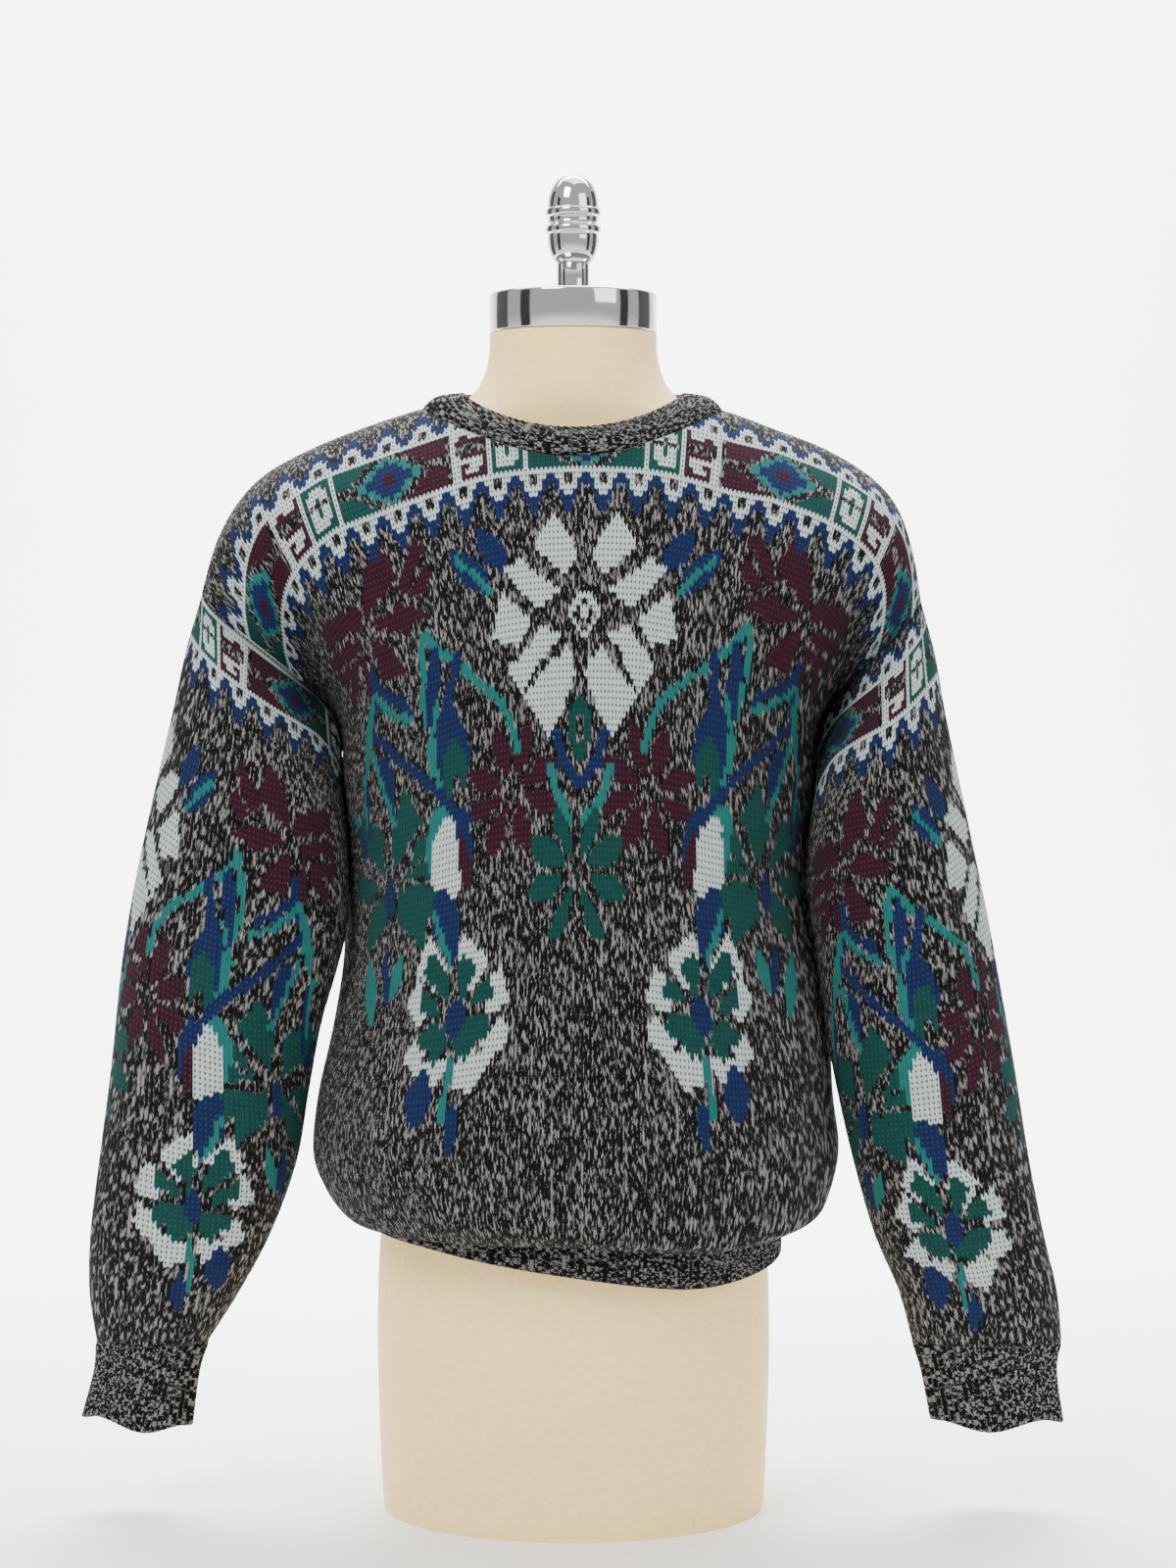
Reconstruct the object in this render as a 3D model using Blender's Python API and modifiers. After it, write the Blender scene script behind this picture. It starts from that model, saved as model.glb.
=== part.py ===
"""A knitted sweater on a dress form: the garment's own pieces as thin walls, and the form under it.

Metres, +Z up. The form stands on z = 0 and the garment's front faces -Y, so +X is its left arm's side
as the wearer has it, and the right of the picture as a viewer in front sees it.

Every cloth piece is a wall: its outer skin is worked out from rings, a shoulder ridge and folds,
its inner skin lies one cloth thickness inside, and the two are lofted together at the edges.
"""
import math
from collections import namedtuple

import bmesh
import bpy
import numpy as np

# Cloth
CLOTH = 0.0024            # thickness of the double-faced knit
SEAM = 0.0003             # gap between pieces where they are sewn together
PANEL_HALF = 0.325        # half of the flat width of the front and of the back
NECK_HALF = 0.111         # half of the neck opening along the shoulder, where the neckband is sewn on
UNDERARM = 0.57           # height of the underarm point
ARM_BULGE = 0.062         # how far the cloth stands forward round the top of the arm
YOKE_ROUND_FRONT = 2.05   # squareness of the turn from chest to shoulder
YOKE_ROUND_BACK = 3.4     # the same at the back, which is more upright

# Grid of the panels and sleeves
NECK_COLUMNS = 10         # across the neck opening
SHOULDER_COLUMNS = 8      # from the neck to each armhole
LOWER_ROWS = 11           # from the hem band to the underarm
YOKE_ROWS = 10            # from the underarm to the shoulder; each sleeve has twice as many columns
SLEEVE_ROWS = 14

# The body below the underarm, one row for a level: half widths to each side, depths to front and back
BodyRing = namedtuple("BodyRing", "height left right front back square")
BODY_RINGS = (
    BodyRing(0.570, 0.1695, 0.1790, 0.140, 0.146, 2.4),
    BodyRing(0.520, 0.1685, 0.1765, 0.148, 0.151, 2.3),
    BodyRing(0.470, 0.1675, 0.1745, 0.155, 0.152, 2.3),
    BodyRing(0.410, 0.1685, 0.1815, 0.163, 0.156, 2.35),
    BodyRing(0.360, 0.1760, 0.1875, 0.169, 0.160, 2.4),
    BodyRing(0.310, 0.1870, 0.1905, 0.173, 0.163, 2.5),
    BodyRing(0.268, 0.191, 0.195, 0.173, 0.163, 2.4),
)

# The ribbed hem band, and the cloth that bags over it
HEM_RING = BodyRing(0.0, 0.150, 0.153, 0.136, 0.130, 2.3)
HEM_HEIGHT = 0.050
HEM_RIBS = 80
RIB_RAISE = 0.0009
HemPoint = namedtuple("HemPoint", "turn lower_edge overhang")
HEM_POINTS = (
    HemPoint(-180.0, 0.196, 0.030),
    HemPoint(-120.0, 0.198, 0.034),
    HemPoint(-80.0, 0.216, 0.044),
    HemPoint(-45.0, 0.214, 0.044),
    HemPoint(0.0, 0.197, 0.026),
    HemPoint(35.0, 0.184, 0.022),
    HemPoint(80.0, 0.194, 0.026),
    HemPoint(120.0, 0.196, 0.030),
    HemPoint(180.0, 0.196, 0.030),
)
BagPoint = namedtuple("BagPoint", "outward drop")
BAG_POINTS = (
    BagPoint(0.0000, 0.00),
    BagPoint(0.0060, 0.55),
    BagPoint(0.0095, 0.88),
    BagPoint(0.0150, 1.00),
    BagPoint(0.0230, 0.86),
    BagPoint(0.0330, 0.50),
)

# The shoulder ridge, from the middle of the neck to the armhole seam, by distance along the flat panel
RidgePoint = namedtuple("RidgePoint", "flat left_x left_z right_x right_z")
RIDGE_POINTS = (
    RidgePoint(0.000, 0.0000, 0.8300, 0.0000, 0.8300),
    RidgePoint(0.060, 0.0605, 0.8240, 0.0600, 0.8235),
    RidgePoint(0.111, 0.1110, 0.8100, 0.1100, 0.8090),
    RidgePoint(0.150, 0.1485, 0.7980, 0.1470, 0.7955),
    RidgePoint(0.190, 0.1860, 0.7835, 0.1840, 0.7810),
    RidgePoint(0.230, 0.2215, 0.7650, 0.2170, 0.7610),
    RidgePoint(0.260, 0.2425, 0.7450, 0.2355, 0.7400),
    RidgePoint(0.290, 0.2575, 0.7190, 0.2450, 0.7130),
    RidgePoint(0.325, 0.2680, 0.6850, 0.2510, 0.6800),
)

# Sleeve stations from armhole to cuff: where the outer and the inner side are, and the half depth
SleeveRing = namedtuple("SleeveRing", "outer_x outer_z inner_x inner_z depth centre_y")
SLEEVE_RINGS = {
    "left": (
        SleeveRing(0.2775, 0.6381, 0.1665, 0.5330, 0.0665, -0.043),
        SleeveRing(0.2856, 0.5922, 0.1618, 0.4990, 0.0620, -0.062),
        SleeveRing(0.2962, 0.5455, 0.1606, 0.4664, 0.0605, -0.066),
        SleeveRing(0.3072, 0.4960, 0.1621, 0.4345, 0.0585, -0.069),
        SleeveRing(0.3171, 0.4489, 0.1702, 0.4021, 0.0560, -0.066),
        SleeveRing(0.3245, 0.4026, 0.1807, 0.3664, 0.0535, -0.064),
        SleeveRing(0.3318, 0.3392, 0.1901, 0.3186, 0.0505, -0.060),
        SleeveRing(0.3421, 0.2709, 0.2003, 0.2640, 0.0465, -0.052),
        SleeveRing(0.3507, 0.2127, 0.2201, 0.2107, 0.0420, -0.043),
        SleeveRing(0.3533, 0.1679, 0.2435, 0.1669, 0.0370, -0.034),
        SleeveRing(0.3496, 0.1290, 0.2673, 0.1290, 0.0280, -0.026),
    ),
    "right": (
        SleeveRing(0.2600, 0.6340, 0.1748, 0.5330, 0.0680, -0.041),
        SleeveRing(0.2662, 0.5895, 0.1688, 0.4970, 0.0620, -0.062),
        SleeveRing(0.2753, 0.5445, 0.1702, 0.4634, 0.0605, -0.066),
        SleeveRing(0.2858, 0.4950, 0.1747, 0.4276, 0.0585, -0.069),
        SleeveRing(0.2962, 0.4480, 0.1795, 0.3903, 0.0560, -0.066),
        SleeveRing(0.3050, 0.4026, 0.1836, 0.3527, 0.0535, -0.064),
        SleeveRing(0.3170, 0.3392, 0.1914, 0.3127, 0.0505, -0.060),
        SleeveRing(0.3291, 0.2709, 0.2040, 0.2610, 0.0465, -0.052),
        SleeveRing(0.3415, 0.2127, 0.2193, 0.2097, 0.0420, -0.043),
        SleeveRing(0.3530, 0.1679, 0.2377, 0.1669, 0.0370, -0.034),
        SleeveRing(0.3581, 0.1290, 0.2484, 0.1290, 0.0280, -0.026),
    ),
}

# Cuffs: where the sleeve is sewn on, and the free edge
CuffRing = namedtuple("CuffRing", "outer_x outer_z inner_x inner_z depth centre_y")
CUFF_RINGS = {
    "left": (
        CuffRing(0.3496, 0.1290, 0.2673, 0.1290, 0.0280, -0.026),
        CuffRing(0.3516, 0.1060, 0.2747, 0.1060, 0.0240, -0.025),
        CuffRing(0.3608, 0.0740, 0.2803, 0.0640, 0.0215, -0.024),
    ),
    "right": (
        CuffRing(0.3581, 0.1290, 0.2484, 0.1290, 0.0280, -0.026),
        CuffRing(0.3546, 0.1060, 0.2557, 0.1060, 0.0240, -0.025),
        CuffRing(0.3598, 0.0700, 0.2629, 0.0680, 0.0230, -0.024),
    ),
}
CUFF_RIBS = 26
CUFF_WAVE = 0.0035        # how far the free edge waves up and down

# Largest folds: a valley along a line seen from the front, from its top to its foot
Fold = namedtuple("Fold", "side top_x top_z foot_x foot_z depth width")
FOLDS = (
    Fold("front", -0.205, 0.700, -0.176, 0.570, 0.024, 0.014),
    Fold("front", 0.205, 0.680, 0.186, 0.570, 0.022, 0.014),
    Fold("back", -0.202, 0.705, -0.176, 0.570, 0.018, 0.017),
    Fold("back", 0.202, 0.690, 0.186, 0.570, 0.018, 0.017),
)

# Neckband: the lower edge is the neckline of the panels, the upper edge is this loop
NECKLINE_FRONT = 0.090
NECKLINE_BACK = 0.092
BandLoop = namedtuple("BandLoop", "half_width front back front_z side_z back_z")
BAND_TOP = BandLoop(0.0815, 0.0800, 0.0800, 0.7925, 0.8215, 0.8270)
BAND_RIBS = 50
BAND_EASE = 0.0012        # how much shorter the band's inner skin is at the seam, where the panels turn
BAND_FULLNESS = 0.0045    # how far the doubled band swells outward between its edges

# Dress form, one row for a level: half width and half depth
FormRing = namedtuple("FormRing", "height half_width front back")
FORM_RINGS = (
    FormRing(0.000, 0.138, 0.104, 0.098),
    FormRing(0.006, 0.141, 0.107, 0.101),
    FormRing(0.070, 0.144, 0.114, 0.108),
    FormRing(0.140, 0.145, 0.119, 0.114),
    FormRing(0.210, 0.142, 0.116, 0.112),
    FormRing(0.280, 0.132, 0.106, 0.100),
    FormRing(0.350, 0.126, 0.100, 0.092),
    FormRing(0.420, 0.132, 0.106, 0.096),
    FormRing(0.490, 0.142, 0.116, 0.106),
    FormRing(0.560, 0.150, 0.120, 0.114),
    FormRing(0.620, 0.160, 0.114, 0.116),
    FormRing(0.680, 0.172, 0.102, 0.112),
    FormRing(0.725, 0.181, 0.088, 0.104),
    FormRing(0.758, 0.1835, 0.078, 0.095),
    FormRing(0.7763, 0.1720, 0.067, 0.088),
    FormRing(0.7911, 0.1450, 0.061, 0.082),
    FormRing(0.8025, 0.1100, 0.061, 0.077),
    FormRing(0.8115, 0.0850, 0.0630, 0.0730),
    FormRing(0.823, 0.0715, 0.0640, 0.0690),
    FormRing(0.836, 0.0645, 0.0635, 0.0640),
    FormRing(0.850, 0.0615, 0.0615, 0.0615),
    FormRing(0.8647, 0.0608, 0.0608, 0.0608),
)
FORM_SEGMENTS = 32

# Polished neck cap, stem and finial
CAP_RADIUS = 0.0614
CAP_LOW = 0.865
CAP_TOP = 0.894
CAP_EDGE = 0.0025
CAP_SEGMENTS = 32
FINIAL_SEGMENTS = 20
STEM_RADIUS = 0.0119
BOWL_LOW = 0.9165
RING_RADIUS = 0.0205
RING_HEIGHTS = (0.9400, 0.9525)
RING_HALF = 0.0030
GROOVE_RADIUS = 0.0188
DOME_LOW = 0.9560
FINIAL_TOP = 0.980


def superellipse(turn, half_width, half_depth, square):
    """Point on a rounded-square ring; turn 0 is the front (-Y) and +90 degrees is +X."""
    sine = np.sin(turn)
    cosine = np.cos(turn)
    x = half_width * np.sign(sine) * np.abs(sine) ** (2.0 / square)
    y = -half_depth * np.sign(cosine) * np.abs(cosine) ** (2.0 / square)
    return x, y


def half_ring(ring, side, share):
    """Points at arc-length shares (-1 left seam, 0 middle, 1 right seam) of a ring's front or back half."""
    depth = ring.front if side == "front" else ring.back
    turns = np.linspace(0.0, math.pi / 2, 241)
    result = np.zeros(share.shape + (2,))
    for sign, width in ((-1.0, ring.left), (1.0, ring.right)):
        x, y = superellipse(turns, width, depth, ring.square)
        length = np.concatenate([[0.0], np.cumsum(np.hypot(np.diff(x), np.diff(y)))])
        length = length / length[-1]
        chosen = share * sign >= 0.0
        result[chosen, 0] = sign * np.interp(np.abs(share[chosen]), length, x)
        result[chosen, 1] = np.interp(np.abs(share[chosen]), length, y)
    if side == "back":
        result[..., 1] *= -1.0
    return result


def spline(points, samples):
    """Smooth curve through control points on axis 0, with the given number of samples a span."""
    padded = np.concatenate([[2 * points[0] - points[1]], points, [2 * points[-1] - points[-2]]])
    step = np.arange(samples) / samples
    step = step.reshape((-1,) + (1,) * (points.ndim - 1))
    parts = []
    for p0, p1, p2, p3 in zip(padded, padded[1:], padded[2:], padded[3:]):
        parts.append(0.5 * (2 * p1 + (p2 - p0) * step
                            + (2 * p0 - 5 * p1 + 4 * p2 - p3) * step ** 2
                            + (3 * p1 - p0 - 3 * p2 + p3) * step ** 3))
    return np.concatenate(parts + [points[-1:]])


def resample(curves, shares):
    """Read curves (samples, columns, 3) at shares (rows, columns) of their own lengths."""
    steps = np.linalg.norm(np.diff(curves, axis=0), axis=2)
    result = np.zeros(shares.shape + (3,))
    for column in range(curves.shape[1]):
        length = np.concatenate([[0.0], np.cumsum(steps[:, column])])
        length = length / length[-1]
        for axis in range(3):
            result[:, column, axis] = np.interp(shares[:, column], length, curves[:, column, axis])
    return result


def hem_levels(share, side):
    """Height of the hem band's lower edge and the overhang above it, at shares of a half ring."""
    turns = np.array([point.turn for point in HEM_POINTS])
    low = np.array([point.lower_edge for point in HEM_POINTS])
    hang = np.array([point.overhang for point in HEM_POINTS])
    turn = share * 90.0
    if side == "back":
        turn = np.where(share >= 0.0, 180.0 - turn, -180.0 - turn)
    fine = np.linspace(-180.0, 180.0, 361)
    window = np.hanning(41)
    window = window / window.sum()

    def smooth(values):
        line = np.interp(fine, turns, values)
        line = np.concatenate([line[-41:-1], line, line[1:41]])
        return np.convolve(line, window, mode="same")[40:-40]

    return np.interp(turn, fine, smooth(low)), np.interp(turn, fine, smooth(hang))


def ridge(flat_x):
    """Shoulder ridge over the flat distance from the middle, for either side."""
    table = np.array(RIDGE_POINTS)
    fine = spline(table, 12)
    distance = np.abs(flat_x)
    left = np.stack([-np.interp(distance, fine[:, 0], fine[:, 1]),
                     np.interp(distance, fine[:, 0], fine[:, 2])], axis=-1)
    right = np.stack([np.interp(distance, fine[:, 0], fine[:, 3]),
                      np.interp(distance, fine[:, 0], fine[:, 4])], axis=-1)
    return np.where((flat_x < 0.0)[..., None], left, right)


def lower_body(share, side):
    """Column curves from the top of the hem band, round the bag, up to the underarm level."""
    low, hang = hem_levels(share, side)
    top = low + HEM_HEIGHT
    stations = []
    for bag in BAG_POINTS:
        ring = HEM_RING._replace(left=HEM_RING.left + bag.outward, right=HEM_RING.right + bag.outward,
                                 front=HEM_RING.front + bag.outward, back=HEM_RING.back + bag.outward)
        plan = half_ring(ring, side, share)
        stations.append(np.concatenate([plan, (top - hang * bag.drop)[:, None]], axis=1))
    for ring in reversed(BODY_RINGS):
        plan = half_ring(ring, side, share)
        stations.append(np.concatenate([plan, np.full((len(share), 1), ring.height)], axis=1))
    above = stations[-1].copy()
    above[:, 2] += 0.03
    curve = spline(np.array(stations + [above]), 14)
    return curve[:-14]


def yoke(share, side):
    """Column curves from the underarm level over the chest or back up to the shoulder ridge."""
    square = YOKE_ROUND_FRONT if side == "front" else YOKE_ROUND_BACK
    foot = half_ring(BODY_RINGS[0], side, share)
    top = ridge(share * PANEL_HALF)
    rise = np.linspace(0.0, 1.0, 121)[1:, None]
    outer = np.clip((np.abs(share) - 0.35) / 0.65, 0.0, 1.0)
    edge = outer * outer * (3.0 - 2.0 * outer)
    power = 2.0 / (square + (1.75 - square) * edge)
    climb = np.sin(rise * math.pi / 2) ** power
    fall = np.cos(rise * math.pi / 2) ** (2.0 / square)
    bulge = ARM_BULGE * edge * np.sin(rise * math.pi) ** 1.3
    forward = -1.0 if side == "front" else 1.0
    early = np.minimum(1.0, 1.3 * rise)
    spread = early ** 2 * (3.0 - 2.0 * early)
    x = foot[:, 0] + (top[:, 0] - foot[:, 0]) * spread
    y = foot[:, 1] * fall + forward * bulge
    z = UNDERARM + (top[:, 1] - UNDERARM) * climb
    return np.stack([x, y, z], axis=-1)


def press_folds(points, side):
    """Push the outer skin in along each large fold of that side."""
    result = points.copy()
    inward = 1.0 if side == "front" else -1.0
    for fold in FOLDS:
        if fold.side != side:
            continue
        top = np.array([fold.top_x, fold.top_z])
        along = np.array([fold.foot_x, fold.foot_z]) - top
        offset = points[..., [0, 2]] - top
        part = np.clip(offset @ along / (along @ along), 0.0, 1.0)
        away = np.linalg.norm(offset - part[..., None] * along, axis=-1)
        strength = np.minimum(1.0, 0.15 + 2.2 * part) * np.exp(-(away / fold.width) ** 2)
        depth = np.minimum(fold.depth * strength, 0.6 * np.abs(points[..., 1]))
        result[..., 1] += inward * depth
    return result


def column_ends(curves, share, side):
    """Share of each column's length at which the panel ends: 1 at the shoulder, less at the neckline."""
    reach = NECKLINE_FRONT if side == "front" else NECKLINE_BACK
    steps = np.linalg.norm(np.diff(curves, axis=0), axis=2)
    ends = np.ones(len(share))
    for column, flat_x in enumerate(share * PANEL_HALF):
        if abs(flat_x) >= NECK_HALF:
            continue
        stop = reach * math.sqrt(1.0 - (flat_x / NECK_HALF) ** 2)
        length = np.concatenate([[0.0], np.cumsum(steps[:, column])])
        upper = slice(len(curves) - 120, None)
        depth = np.abs(curves[upper, column, 1])
        ends[column] = np.interp(-stop, -depth, length[upper] / length[-1])
    return ends


def grid_normals(points, closed):
    """Outward normals of a grid (rows, columns, 3), from its neighbours along both ways."""
    if closed:
        across = np.roll(points, -1, axis=1) - np.roll(points, 1, axis=1)
    else:
        across = np.gradient(points, axis=1)
    along = np.gradient(points, axis=0)
    normal = np.cross(across, along)
    return normal / np.maximum(np.linalg.norm(normal, axis=2, keepdims=True), 1e-12)


def wall(name, outer, inner, closed, material):
    """Closed solid lofted between an outer and an inner grid of the same size."""
    rows, columns, _ = outer.shape
    mesh = bmesh.new()
    skins = []
    for grid in (outer, inner):
        skins.append([[mesh.verts.new(point) for point in row] for row in grid])
    spans = columns if closed else columns - 1
    for row in range(rows - 1):
        for column in range(spans):
            after = (column + 1) % columns
            for skin, flip in ((skins[0], False), (skins[1], True)):
                quad = [skin[row][column], skin[row][after], skin[row + 1][after], skin[row + 1][column]]
                mesh.faces.new(quad[::-1] if flip else quad)
    for row, flip in ((0, False), (rows - 1, True)):
        for column in range(spans):
            after = (column + 1) % columns
            quad = [skins[1][row][column], skins[1][row][after], skins[0][row][after], skins[0][row][column]]
            mesh.faces.new(quad[::-1] if flip else quad)
    if not closed:
        for column, flip in ((0, False), (columns - 1, True)):
            for row in range(rows - 1):
                quad = [skins[0][row][column], skins[0][row + 1][column],
                        skins[1][row + 1][column], skins[1][row][column]]
                mesh.faces.new(quad[::-1] if flip else quad)
    bmesh.ops.recalc_face_normals(mesh, faces=mesh.faces)
    return add_object(name, mesh, material)


def add_object(name, mesh, material):
    """Link a finished bmesh into the model's collection under its node name."""
    data = bpy.data.meshes.new(name)
    mesh.to_mesh(data)
    mesh.free()
    data.materials.append(material)
    thing = bpy.data.objects.new(name, data)
    MODEL.objects.link(thing)
    return thing


def make_material(name, colour, roughness, metallic=0.0):
    """Plain Principled material for one sub-part."""
    material = bpy.data.materials.new(name)
    material.use_nodes = True
    shader = material.node_tree.nodes["Principled BSDF"]
    shader.inputs["Base Color"].default_value = (*colour, 1.0)
    shader.inputs["Roughness"].default_value = roughness
    shader.inputs["Metallic"].default_value = metallic
    material.diffuse_color = (*colour, 1.0)
    return material


def panel_shares():
    """Column positions across a panel: one at each corner of the neck, closer where the neckline turns."""
    across = np.linspace(-0.5 * math.pi, 0.5 * math.pi, NECK_COLUMNS + 1)
    neck = NECK_HALF * np.sin(across)
    neck[[0, -1]] = (-NECK_HALF, NECK_HALF)
    shoulder = np.linspace(NECK_HALF, PANEL_HALF, SHOULDER_COLUMNS + 1)[1:]
    return np.concatenate([-shoulder[::-1], neck, shoulder]) / PANEL_HALF


def panel_skins(side):
    """Outer and inner grids of the front or back, rows from the hem band to the top edge."""
    share = panel_shares()
    low = press_folds(lower_body(share, side), side)
    high = press_folds(np.concatenate([lower_body(share, side)[-1:], yoke(share, side)]), side)
    ends = column_ends(high, share, side)
    low_rows = np.linspace(0.0, 1.0, LOWER_ROWS + 1) ** 1.25
    high_rows = np.linspace(0.0, 1.0, YOKE_ROWS + 1)[1:]
    outer = np.concatenate([resample(low, np.repeat(low_rows[:, None], len(share), axis=1)),
                            resample(high, high_rows[:, None] * ends[None, :])])
    normal = grid_normals(outer, closed=False)
    if side == "back":
        normal = -normal
    shoulder = np.abs(share) * PANEL_HALF >= NECK_HALF - 1e-9
    middle = -SEAM / 2 if side == "front" else SEAM / 2
    for column in (0, -1):
        normal[:LOWER_ROWS + 1, column, 1] = 0.0
        outer[:LOWER_ROWS + 1, column, 1] = middle
    normal[-1, shoulder, 1] = 0.0
    outer[-1, shoulder, 1] = middle
    normal /= np.linalg.norm(normal, axis=2, keepdims=True)
    return outer, outer - CLOTH * normal


def build_panel(side, material):
    """Front or back: a grid from side seam to side seam, open at the armholes and the neck."""
    outer, inner = panel_skins(side)
    return wall("sweater_" + side, outer, inner, False, material)


def armhole_loops(sign):
    """Outer and inner loops of an armhole, from the underarm up the front and down the back."""
    column = 0 if sign < 0.0 else -1
    front = [skin[LOWER_ROWS:, column] for skin in panel_skins("front")]
    back = [skin[LOWER_ROWS:, column] for skin in panel_skins("back")]
    return [np.concatenate([ahead, behind[::-1][1:-1]]) for ahead, behind in zip(front, back)]


def sleeve_ring(ring, sign, count):
    """Elliptic ring between the outer and the inner point, starting at the inner side, front first."""
    turn = np.linspace(0.0, 2.0 * math.pi, 721)
    outer = np.array([sign * ring.outer_x, ring.outer_z])
    inner = np.array([sign * ring.inner_x, ring.inner_z])
    middle = (outer + inner) / 2
    reach = (inner - outer) / 2
    x = middle[0] + reach[0] * np.cos(turn)
    z = middle[1] + reach[1] * np.cos(turn)
    y = ring.centre_y - ring.depth * np.sin(turn)
    curve = np.stack([x, y, z], axis=1)[:, None, :]
    return resample(curve, np.linspace(0.0, 1.0, count + 1)[:-1, None])[:, 0]


def build_sleeve(side, sign, material):
    """Sleeve tube lofted from the armhole loop through its stations to the cuff seam."""
    loop, loop_inner = armhole_loops(sign)
    count = len(loop)
    stations = [loop] + [sleeve_ring(ring, sign, count) for ring in SLEEVE_RINGS[side]]
    curves = spline(np.array(stations), 12)
    shares = np.repeat(np.linspace(0.0, 1.0, SLEEVE_ROWS + 1)[:, None], count, axis=1)
    outer = resample(curves, shares)
    normal = grid_normals(outer, closed=True)
    if np.sum(normal * (outer - outer.mean(axis=1, keepdims=True))) < 0.0:
        normal = -normal
    normal[-1] = level_out(normal[-1])
    outer[-1, :, 2] += SEAM / 2
    inner = outer - CLOTH * normal
    outer[0], inner[0] = sewn_start(loop, loop_inner, curves[6] - curves[0], sign)
    return wall("sleeve_" + side, outer, inner, True, material)


def sewn_start(loop, loop_inner, away, sign):
    """First row of a sleeve: end to end with the panel on top, turned back over its edge at the underarm."""

    def unit(vectors):
        return vectors / np.linalg.norm(vectors, axis=1, keepdims=True)

    face = unit(loop - loop_inner)
    tangent = unit(np.roll(loop, -1, axis=0) - np.roll(loop, 1, axis=0))
    beyond = unit(np.cross(face, tangent))
    if np.sum(beyond[:, 0]) * sign < 0.0:
        beyond = -beyond
    turn = np.arctan2(np.sum(away * face, axis=1), np.sum(away * beyond, axis=1))[:, None]
    turn = np.clip(turn, 0.0, math.pi)
    lead = np.minimum(turn, math.pi / 2)
    start = loop + SEAM * (np.cos(lead) * beyond + np.sin(lead) * face)
    return start, start - CLOTH * (np.cos(turn) * face - np.sin(turn) * beyond)


def level_out(normals):
    """Turn the normals along a level seam into its plane, so that both sides of it share them."""
    flat = normals.copy()
    flat[:, 2] = 0.0
    return flat / np.linalg.norm(flat, axis=1, keepdims=True)


def ribbed(outer, normal, by_row):
    """Raise every other column of the outer skin into a rib, by a share of its full height in each row."""
    crest = np.arange(outer.shape[1]) % 2
    height = RIB_RAISE * np.array(by_row)[:, None] * crest[None, :]
    return outer + normal * height[..., None]


def build_cuff(side, sign, material):
    """Ribbed cuff, its free edge waving a little."""
    count = CUFF_RIBS * 2
    stations = np.array([sleeve_ring(ring, sign, count) for ring in CUFF_RINGS[side]])
    turn = np.linspace(0.0, 2.0 * math.pi, count, endpoint=False)
    stations[-1, :, 2] += CUFF_WAVE * np.sin(3.0 * turn + 0.6)
    outer = stations
    outer[0, :, 2] -= SEAM / 2
    normal = grid_normals(outer, closed=True)
    if np.sum(normal * (outer - outer.mean(axis=1, keepdims=True))) < 0.0:
        normal = -normal
    normal[0] = level_out(normal[0])
    inner = outer - CLOTH * normal
    return wall("cuff_" + side, ribbed(outer, normal, (0.0, 1.0, 1.0)), inner, True, material)


def build_hem(material):
    """Ribbed hem band all round, hanging from the panels' lower edges under the bagging cloth."""
    front, back = (panel_skins(side)[0][0] for side in ("front", "back"))
    seam = np.concatenate([front, back[::-1], front[:1]])
    top = resample(seam[:, None, :], np.linspace(0.0, 1.0, HEM_RIBS * 2 + 1)[:-1, None])[:, 0]
    outer = np.stack([top, top, top])
    outer[0, :, 2] -= HEM_HEIGHT
    outer[1, :, 2] -= HEM_HEIGHT / 2
    outer[2, :, 2] -= SEAM
    normal = grid_normals(outer, closed=True)
    if np.sum(normal * (outer - outer.mean(axis=1, keepdims=True))) < 0.0:
        normal = -normal
    normal[2] = level_out(normal[2])
    inner = outer - CLOTH * normal
    return wall("hem_band", ribbed(outer, normal, (1.0, 1.0, 0.0)), inner, True, material)


def neckline(count):
    """Seam loop round the neck along the top edges of both panels, front middle first."""
    neck = slice(SHOULDER_COLUMNS, SHOULDER_COLUMNS + NECK_COLUMNS + 1)
    front, back = (panel_skins(side)[0][-1, neck] for side in ("front", "back"))
    middle = NECK_COLUMNS // 2
    loop = np.concatenate([front[middle:], back[::-1][1:-1], front[:middle + 1]])
    return resample(loop[:, None, :], np.linspace(0.0, 1.0, count + 1)[:-1, None])[:, 0]


def band_loop(turn):
    """Free upper edge of the neckband."""
    front = np.cos(turn) >= 0.0
    depth = np.where(front, BAND_TOP.front, BAND_TOP.back)
    y = -np.sign(np.cos(turn)) * np.abs(np.cos(turn)) ** 0.78 * depth
    level = np.abs(np.cos(turn)) ** 1.6
    z = BAND_TOP.side_z + level * (np.where(front, BAND_TOP.front_z, BAND_TOP.back_z) - BAND_TOP.side_z)
    return np.stack([BAND_TOP.half_width * np.sin(turn), y, z], axis=1)


def build_neckband(material):
    """Ribbed neckband from the neckline seam up to its free edge."""
    seam = neckline(BAND_RIBS * 2)
    top = band_loop(np.arctan2(seam[:, 0] / NECK_HALF, -seam[:, 1] / NECKLINE_FRONT))
    middle = (seam + top) / 2
    outward = middle - np.array([0.0, -0.005, 0.74])
    outward /= np.linalg.norm(outward, axis=1, keepdims=True)
    middle += BAND_FULLNESS * outward
    climb = (middle - seam) / np.linalg.norm(middle - seam, axis=1, keepdims=True)
    outer = np.array([seam + climb * SEAM, middle, top])
    normal = grid_normals(outer, closed=True)
    if np.sum(normal * outward[None]) < 0.0:
        normal = -normal
    inner = outer - CLOTH * normal
    inner[0] += BAND_EASE * climb
    return wall("neckband", ribbed(outer, normal, (0.0, 1.0, 1.0)), inner, True, material)


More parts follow.
